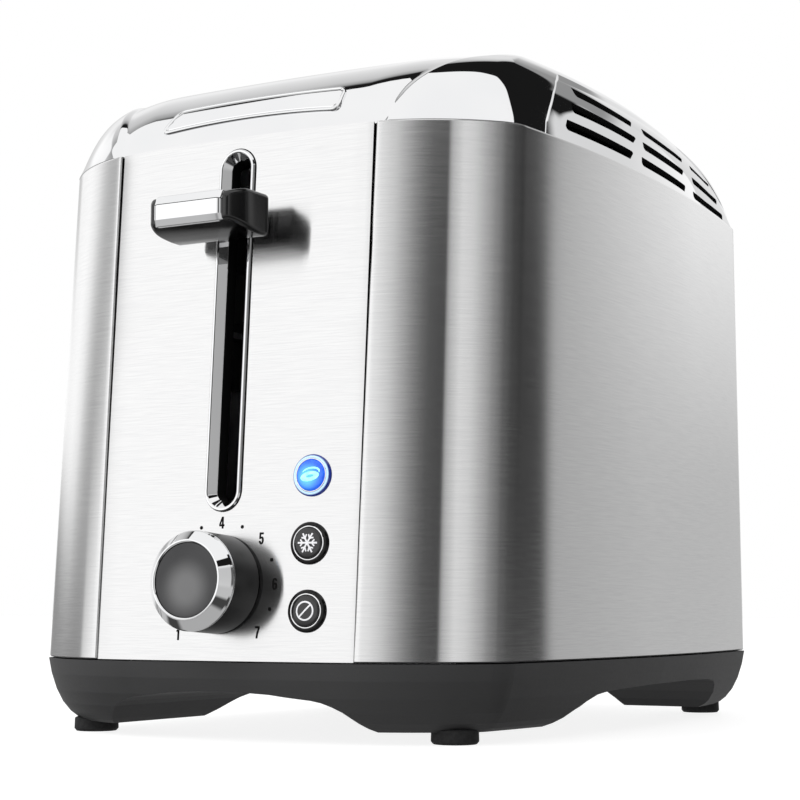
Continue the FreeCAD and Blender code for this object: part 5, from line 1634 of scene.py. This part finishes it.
# Plain numerals, drawn as filled outlines on a 6 x 10 grid.
def glyph(ch):
    k = 0.9
    if ch == "1":
        return [([(2.2, 0), (4.3, 0), (4.3, 10), (2.9, 10), (2.5, 9.1), (1.0, 8.3), (1.0, 6.7), (2.2, 7.3)], [])]
    if ch == "2":
        o = [(0.6, 0), (5.6, 0), (5.6, 1.7), (3.1, 1.7), (4.9, 4.6), (5.5, 6.2), (5.5, 7.8), (4.8, 9.3), (3.1, 10), (1.4, 9.4), (0.6, 7.9), (0.6, 6.6), (2.5, 6.6), (2.6, 7.8), (3.1, 8.4), (3.6, 7.8), (3.5, 6.6), (2.9, 5.2), (0.9, 2.0)]
        return [(o, [])]
    if ch == "3":
        o = [(0.6, 2.0), (1.5, 0.5), (3.1, 0), (4.7, 0.6), (5.5, 2.2), (5.4, 4.0), (4.5, 5.1), (5.3, 6.2), (5.4, 8.0), (4.6, 9.5), (3.1, 10), (1.6, 9.5), (0.7, 7.8), (2.5, 7.3), (2.7, 8.1), (3.1, 8.4), (3.5, 7.9), (3.5, 6.7), (3.0, 6.0), (2.3, 5.9), (2.3, 4.4), (3.1, 4.3), (3.6, 3.6), (3.6, 2.4), (3.1, 1.6), (2.6, 2.0), (2.5, 3.0), (0.6, 3.2)]
        return [(o, [])]
    if ch == "4":
        o = [(3.1, 0), (5.0, 0), (5.0, 1.9), (5.9, 1.9), (5.9, 3.6), (5.0, 3.6), (5.0, 10), (2.9, 10), (0.3, 3.7), (0.3, 1.9), (3.1, 1.9)]
        return [(o, [[(3.1, 3.6), (2.0, 3.6), (3.1, 6.7)]])]
    if ch == "5":
        o = [(0.6, 2.0), (1.5, 0.5), (3.1, 0), (4.7, 0.6), (5.6, 2.4), (5.6, 4.6), (4.9, 6.2), (3.6, 6.7), (2.6, 6.3), (2.7, 8.3), (5.3, 8.3), (5.3, 10), (1.0, 10), (0.8, 4.6), (2.5, 4.5), (3.1, 5.1), (3.6, 4.5), (3.7, 2.6), (3.1, 1.6), (2.6, 2.0), (2.4, 3.0), (0.6, 3.2)]
        return [(o, [])]
    if ch == "6":
        o = [(3.1, 0), (4.8, 0.6), (5.6, 2.2), (5.6, 4.4), (4.9, 5.8), (3.7, 6.2), (2.5, 5.7), (2.6, 7.7), (3.1, 8.4), (3.6, 8.0), (3.7, 7.2), (5.5, 7.4), (4.8, 9.4), (3.1, 10), (1.4, 9.3), (0.6, 7.3), (0.6, 2.6), (1.4, 0.6)]
        return [(o, [[(3.1, 1.6), (2.6, 2.3), (2.6, 4.0), (3.1, 4.6), (3.6, 4.0), (3.6, 2.3)]])]
    o = [(1.6, 0), (3.6, 0), (4.1, 3.6), (5.6, 8.2), (5.6, 10), (0.6, 10), (0.6, 8.3), (3.6, 8.3), (2.2, 4.2)]
    return [(o, [])]


def make_dial_print():
    """Numbers 1 to 7 round the knob, with a dot midway between each."""
    h = 3.5
    pieces = []
    at = [(-13.8, -14.5), (-19.0, 0.0), (-13.9, 13.1), (0.0, 17.95), (13.9, 13.1), (19.0, 0.0), (13.8, -13.8)]
    for (cx, cy), ch in zip(at, "1234567"):
        for o, hs in glyph(ch):
            f = lambda q: np.column_stack([cx + (np.array(q, float)[:, 0] - 3.05) * h / 10.0 * 0.93, cy + (np.array(q, float)[:, 1] - 5.0) * h / 10.0])
            o = np.array(o, float)
            pieces.append((f(rounded_poly(o, 0.25, 2)), [f(x) for x in hs]))
    for cx, cy in ((-17.65, -7.2), (-17.65, 6.9), (-7.2, 16.58), (7.2, 16.58), (17.65, 6.9), (17.65, -7.2)):
        pieces.append((ellipse(cx, cy, 0.55, 0.55, n=20), []))

    def surf(P, hh):
        z = 45.2 + P[:, 1] * math.sin(rad(86.333))
        V = panel_point(P[:, 0], z, 0.8)
        e = 0.01
        a, b = panel_point(P[:, 0] + e, z, 0.8), panel_point(P[:, 0], z + e, 0.8)
        n = np.cross(a - V, b - V)
        n /= np.linalg.norm(n, axis=1, keepdims=True)
        return V + n * hh
    print_on("dial_numbers", pieces, surf, "housing", "component_black", "print_black", lift=0.01, thick=0.03, spacing=0.9)


make_dial_print()


# ------------------------------------------------------------------- plaque
def make_plaque():
    """Bare raised plaque on the front of the cap: a rounded plate with a fine groove just inside its edge."""
    W, H, R = 31.6, 5.2, 3.0
    yc = YF + prof[:, 1]
    zc = prof[:, 0]
    eta = np.r_[0, np.cumsum(np.hypot(np.diff(yc), np.diff(zc)))]
    mid = float(np.interp(8.1, zc, eta)) + 4.3

    def loop(i, n=9):
        w, h, r = W - i, H - i, max(R - i, 0.4)
        pts = []
        for cx, cy, a0, nx in ((w - r, h - r, 0, 26), (-w + r, h - r, 90, 4), (-w + r, -h + r, 180, 26), (w - r, -h + r, 270, 4)):
            for k in range(n):
                t = rad(a0 + 90 * k / (n - 1))
                pts.append((cx + r * math.cos(t), cy + r * math.sin(t)))
            # straight run to the next corner
            a = np.array(pts[-1])
            nxt = {0: (-w + r, h), 90: (-w, -h + r), 180: (w - r, -h), 270: (w, h - r)}[a0]
            for k in range(1, nx):
                pts.append(tuple(a + (np.array(nxt) - a) * k / nx))
        return np.array(pts)

    def lay(q, hgt):
        y = np.interp(q[:, 1] + mid, eta, yc)
        V, n = cap_point(np.column_stack([q[:, 0] * (1 - 0.0062 * q[:, 1]) + 0.145 * q[:, 1] + 0.8, y]), STEP_DEPTH - hgt)
        return V
    steps = [(0.0, -0.25), (0.0, 0.45), (0.07, 0.63), (0.2, 0.76), (0.38, 0.8), (0.85, 0.8), (0.92, 0.76), (1.0, 0.62), (1.12, 0.56), (1.26, 0.62), (1.36, 0.76), (1.44, 0.8)]
    rows = [lay(loop(i), h_) for i, h_ in steps]
    G = np.array(rows)
    F = [tuple(q) for q in grid_faces(len(steps), G.shape[1], 0, False, True)]
    inner = loop(1.44)
    P, tri = fill(inner, (), 1.3)
    Vt = lay(P, 0.8)
    lowP, ltri = fill(loop(0.0), (), 2.5)
    Vl = lay(lowP, -0.25)
    m = Mesh()
    tri = [tuple(int(i) for i in t) for t in tri]
    ltri = [tuple(int(i) for i in t)[::-1] for t in ltri]
    q = G.reshape(-1, 3)

    def facing(V, F):
        f = F[len(F) // 2]
        n = np.cross(V[f[1]] - V[f[0]], V[f[2]] - V[f[0]])
        return n
    # the plate's top looks forward and up
    if facing(Vt, tri) @ np.array([0, -1.0, 1.0]) < 0:
        tri = [t[::-1] for t in tri]
    if facing(Vl, ltri) @ np.array([0, -1.0, 1.0]) > 0:
        ltri = [t[::-1] for t in ltri]
    # a wall face near the middle of the top edge looks upward
    k = len(loop(0.0))
    top_mid = 9 + 13
    f = F[0 * k + top_mid]
    n = np.cross(q[f[1]] - q[f[0]], q[f[2]] - q[f[0]])
    if n @ np.array([0, 0.5, 1.0]) < 0:
        F = [t[::-1] for t in F]
    m.add(q, F)
    m.add(Vt, tri)
    m.add(Vl, ltri)
    v, nn, f = m.weld(3e-4)
    solid("front_plaque", v, f, "housing", "chrome", sharp=50, replaces=("front_badge",))


make_plaque()


# ------------------------------------------------------------------- spring
def make_spring():
    turns, seg, k = 15, 26, 8
    R, r = 3.6, 0.5
    n = turns * seg + 1
    t = np.linspace(0, 2 * PI * turns, n)
    z = 127.2 + (176.0 - 127.4) * (t / t[-1])
    c = np.column_stack([30 + R * np.cos(t), -80 + R * np.sin(t), z])
    tan = np.gradient(c, axis=0)
    tan /= np.linalg.norm(tan, axis=1, keepdims=True)
    out = np.column_stack([np.cos(t), np.sin(t), 0 * t])
    b = np.cross(tan, out)
    a = np.linspace(0, 2 * PI, k, endpoint=False)
    G = c[:, None] + r * (np.cos(a)[None, :, None] * out[:, None] + np.sin(a)[None, :, None] * b[:, None])
    F = [tuple(q) for q in grid_faces(n, k, 0, False, True)]
    F.append(tuple(range(k))[::-1])
    F.append(tuple(range((n - 1) * k, n * k)))
    V = to_world(G.reshape(-1, 3))
    tri = np.array([(q[0], q[j], q[j + 1]) for q in F for j in range(1, len(q) - 1)])
    if (np.cross(V[tri[:, 0]], V[tri[:, 1]]) * V[tri[:, 2]]).sum() < 0:
        F = [tuple(reversed(q)) for q in F]
    me = bpy.data.meshes.new("return_spring")
    me.from_pydata(V.tolist(), [], F)
    o = bpy.data.objects.new("return_spring", me)
    bpy.context.scene.collection.objects.link(o)
    finish_mesh(me, 50)
    me.materials.append(MAT["steel_wire"])
    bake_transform(o)
    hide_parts("carriage_spring")


make_spring()


# --------------------------------------------------------------------- feet
def make_feet():
    m = Mesh()
    for x in (-63.8, 63.8):
        for y in (-97.0, 99.0):
            prof = np.array([(0, 4.4), (6.2, 4.4), (6.8, 4.0), (6.9, 0.8), (6.2, 0.0), (4.4, 0.0), (4.0, 0.5), (3.0, 0.5), (2.6, 0.0), (0, 0.0)])
            prof = np.vstack([prof[:1], rounded_poly(prof[1:-1], [0.1, 0.2, 0.4, 0.4, 0.1, 0.1, 0.1, 0.1], 3), prof[-1:]])
            V, F = turned(prof, lambda p: p + (x, y, 0.0), 64)
            tri = np.array([(q[0], q[j], q[j + 1]) for q in F for j in range(1, len(q) - 1)])
            if (np.cross(V[tri[:, 0]], V[tri[:, 1]]) * V[tri[:, 2]]).sum() < 0:
                F = [tuple(reversed(q)) for q in F]
            m.add(V, F)
    solid("rubber_feet_turned", np.vstack(m.v), m.f, "housing", "rubber", sharp=40, replaces=("rubber_feet",))


make_feet()



# ------------------------------------------------------------------- studio
def build_world():
    """Soft white studio round the toaster, with dark flags above and to the right."""
    w = bpy.data.worlds.new("studio")
    bpy.context.scene.world = w
    w.use_nodes = True
    T = Tree(w.node_tree)
    T.n.clear()
    out = T.n.new("ShaderNodeOutputWorld")
    bg = T.n.new("ShaderNodeBackground")
    T.l.new(bg.outputs[0], out.inputs[0])
    c = T.n.new("ShaderNodeTexCoord")
    s = T.n.new("ShaderNodeSeparateXYZ")
    T.l.new(c.outputs["Generated"], s.inputs[0])
    x, y, z = s.outputs
    az = T.mul(T.m("ARCTAN2", x, T.mul(y, -1.0)), 180 / PI)      # 0 towards -Y, 90 towards +X
    el = T.mul(T.m("ARCSINE", z), 180 / PI)
    k = 0.80

    def g(v):
        return lin(v) / k

    low = [(-180, 200), (-150, 236), (-120, 240), (-105, 252), (-96, 238), (-90, 200), (-84, 172), (-79, 167), (-75, 184), (-71, 206), (-66, 234), (-60, 248), (-52, 252), (-7, 251), (-4, 238),
           (2.5, 226), (9, 203), (15, 170), (22, 126), (27, 95), (31, 73), (40.2, 54), (40.9, 168), (48, 216), (54, 207), (60, 176), (67, 133),
           (79, 92), (105, 66), (140.7, 52), (141.2, 164), (156, 178)]
    # the dark bands on the left lean: they shift with height
    lean = T.mul(T.mul(T.step(az, -56, -66), T.step(az, -140, -122)), T.mul(T.sub(el, 9.0), 0.9))
    lo = T.ramp(T.step(T.sub(az, lean), -180, 180, 0, 1, "LINEAR"), [((a + 180) / 360.0, g(v)) for a, v in low])
    lo = T.mix(T.mul(T.mul(T.step(el, 6.5, 1.5), T.step(az, -76.0, -79.5)), T.mul(T.step(az, -150, -125), 0.95)), lo, g(128))
    # from above: centred on the zenith, px to +X, py to +Y, in degrees
    hor = T.m("SQRT", T.m("MAXIMUM", T.sub(1.0, T.mul(z, z)), 1e-9))
    r = T.sub(90.0, el)
    px = T.m("DIVIDE", T.mul(r, x), hor)
    py = T.m("DIVIDE", T.mul(r, y), hor)
    white = lin(241) / 0.88
    rear = lin(212) / 0.88
    front = T.add(T.step(px, -8, 6, 9.0, 15.5), T.step(px, 12, 36, 0.0, 9.0))
    past = T.sub(py, front)
    m1 = T.step(past, -0.3, 0.3)
    low_part = T.mul(T.step(px, 9.0, 10.5), T.step(px, 20.5, 19.0))
    m2 = T.m("MAXIMUM", T.step(r, 59.0, 58.2), T.mul(low_part, T.step(r, 59.4, 58.9)))
    # towards the left the black flag thins to a line, with a soft grey behind it
    thick = T.add(T.step(px, -48, -14, -3.6, 10.0), T.step(px, -20, -3, 0.0, 46.0))
    t = T.sub(past, thick)
    fade = T.ramp(T.step(t, 0, 30, 0, 1, "LINEAR"), [(0.0, lin(26)), (0.05, lin(95)), (0.14, lin(165)), (0.4, lin(205)), (1.0, lin(232))])
    light_up = T.mix(T.step(py, 20, 30), white, rear)
    high = T.mix(T.mul(m1, m2), light_up, fade)
    right = T.mul(T.step(px, 37.8, 38.8), T.step(py, -50, -44))
    high = T.mix(T.mul(right, m2), high, lin(27))
    # the side sees a brighter patch higher up, towards the rear
    lift = T.mul(T.step(el, 4, 13, 0, 1, "LINEAR"), T.step(az, 141.5, 166, 0, 1, "LINEAR"))
    lo = T.mix(lift, lo, g(238))
    # between them
    behind = T.step(az, 140.8, 141.2)
    f = T.mix(behind, T.step(el, 25, 33), T.step(el, 18, 27))
    light = T.mix(f, lo, high)
    # a grey card behind, low down
    card = T.mul(T.mul(T.step(px, 10.5, 8.5), T.step(px, -18.0, -9.0)), T.mul(T.step(el, 27.0, 29.5), T.step(r, 55.8, 56.4)))
    light = T.mix(card, light, lin(140) / 0.88)
    # and a pale one behind on the left
    card = T.mul(T.mul(T.step(az, -154.0, -146.0), T.step(az, -118.0, -126.0)), T.mul(T.step(el, 8.0, 12.5), T.step(el, 38.0, 29.0)))
    light = T.mix(card, light, T.mix(T.step(el, 13.0, 28.0), lin(200) / 0.88, lin(232) / 0.88))
    under = T.step(el, -2.0, -10.0)
    low_glow = T.add(T.mix(T.step(el, -23.0, -30.0), g(178), g(60)), T.step(el, -41.0, -50.0, 0.0, g(160) - g(60)))
    lp = T.n.new("ShaderNodeLightPath")
    light = T.mix(under, light, T.mix(lp.outputs["Is Diffuse Ray"], low_glow, g(132)))
    seen = T.mix(lp.outputs["Is Camera Ray"], light, 1.0)
    cc = T.n.new("ShaderNodeCombineColor")
    for i in range(3):
        T.put(cc.inputs[i], seen)
    T.l.new(cc.outputs[0], bg.inputs["Color"])
    bg.inputs["Strength"].default_value = 1.0


build_world()


def floor():
    me = bpy.data.meshes.new("floor")
    s = 6.0
    me.from_pydata([(-s, -s, 0), (s, -s, 0), (s, s, 0), (-s, s, 0)], [], [(0, 1, 2, 3)])
    o = bpy.data.objects.new("floor", me)
    bpy.context.scene.collection.objects.link(o)

    def build(T):
        n = T.noise(T.coords(), 3.0, 3.0, 0.5)
        return {"Base Color": T.mixc(T.step(n, 0.3, 0.7), (0.26, 0.26, 0.26), (0.29, 0.29, 0.29)), "Roughness": 0.6,
                "Emission Color": (1, 1, 1, 1)}
    me.materials.append(material("floor_white", build, Emission_Strength=0.86, Specular_IOR_Level=0.1))
    o.visible_glossy = False
    o.visible_diffuse = False
    return o


floor()


def area(name, loc, aim, size, power, size_y=None):
    d = bpy.data.lights.new(name, "AREA")
    d.energy = power
    d.size = size
    if size_y:
        d.shape = "RECTANGLE"
        d.size_y = size_y
    o = bpy.data.objects.new(name, d)
    bpy.context.scene.collection.objects.link(o)
    o.location = loc
    o.rotation_euler = (Vector(aim) - Vector(loc)).to_track_quat("-Z", "Y").to_euler()
    o.visible_glossy = False
    return o


area("key", (-0.5, -1.1, 1.3), (0, 0, 0.1), 1.2, 9.0)

cam = bpy.data.cameras.new("camera")
cam.lens = 87.3
cam.sensor_width = 36.0
cam.clip_start = 0.01
camera = bpy.data.objects.new("camera", cam)
camera.location = (0.3226, -0.58585, 0.0384)
camera.rotation_euler = (PI / 2 + 0.1067, 0.0, 0.5109)
bpy.context.scene.collection.objects.link(camera)
bpy.context.scene.camera = camera
bpy.context.scene.view_settings.view_transform = "Standard"
bpy.context.scene.view_settings.look = "None"
bpy.context.scene.view_settings.exposure = 0.0
bpy.context.scene.view_settings.gamma = 1.0
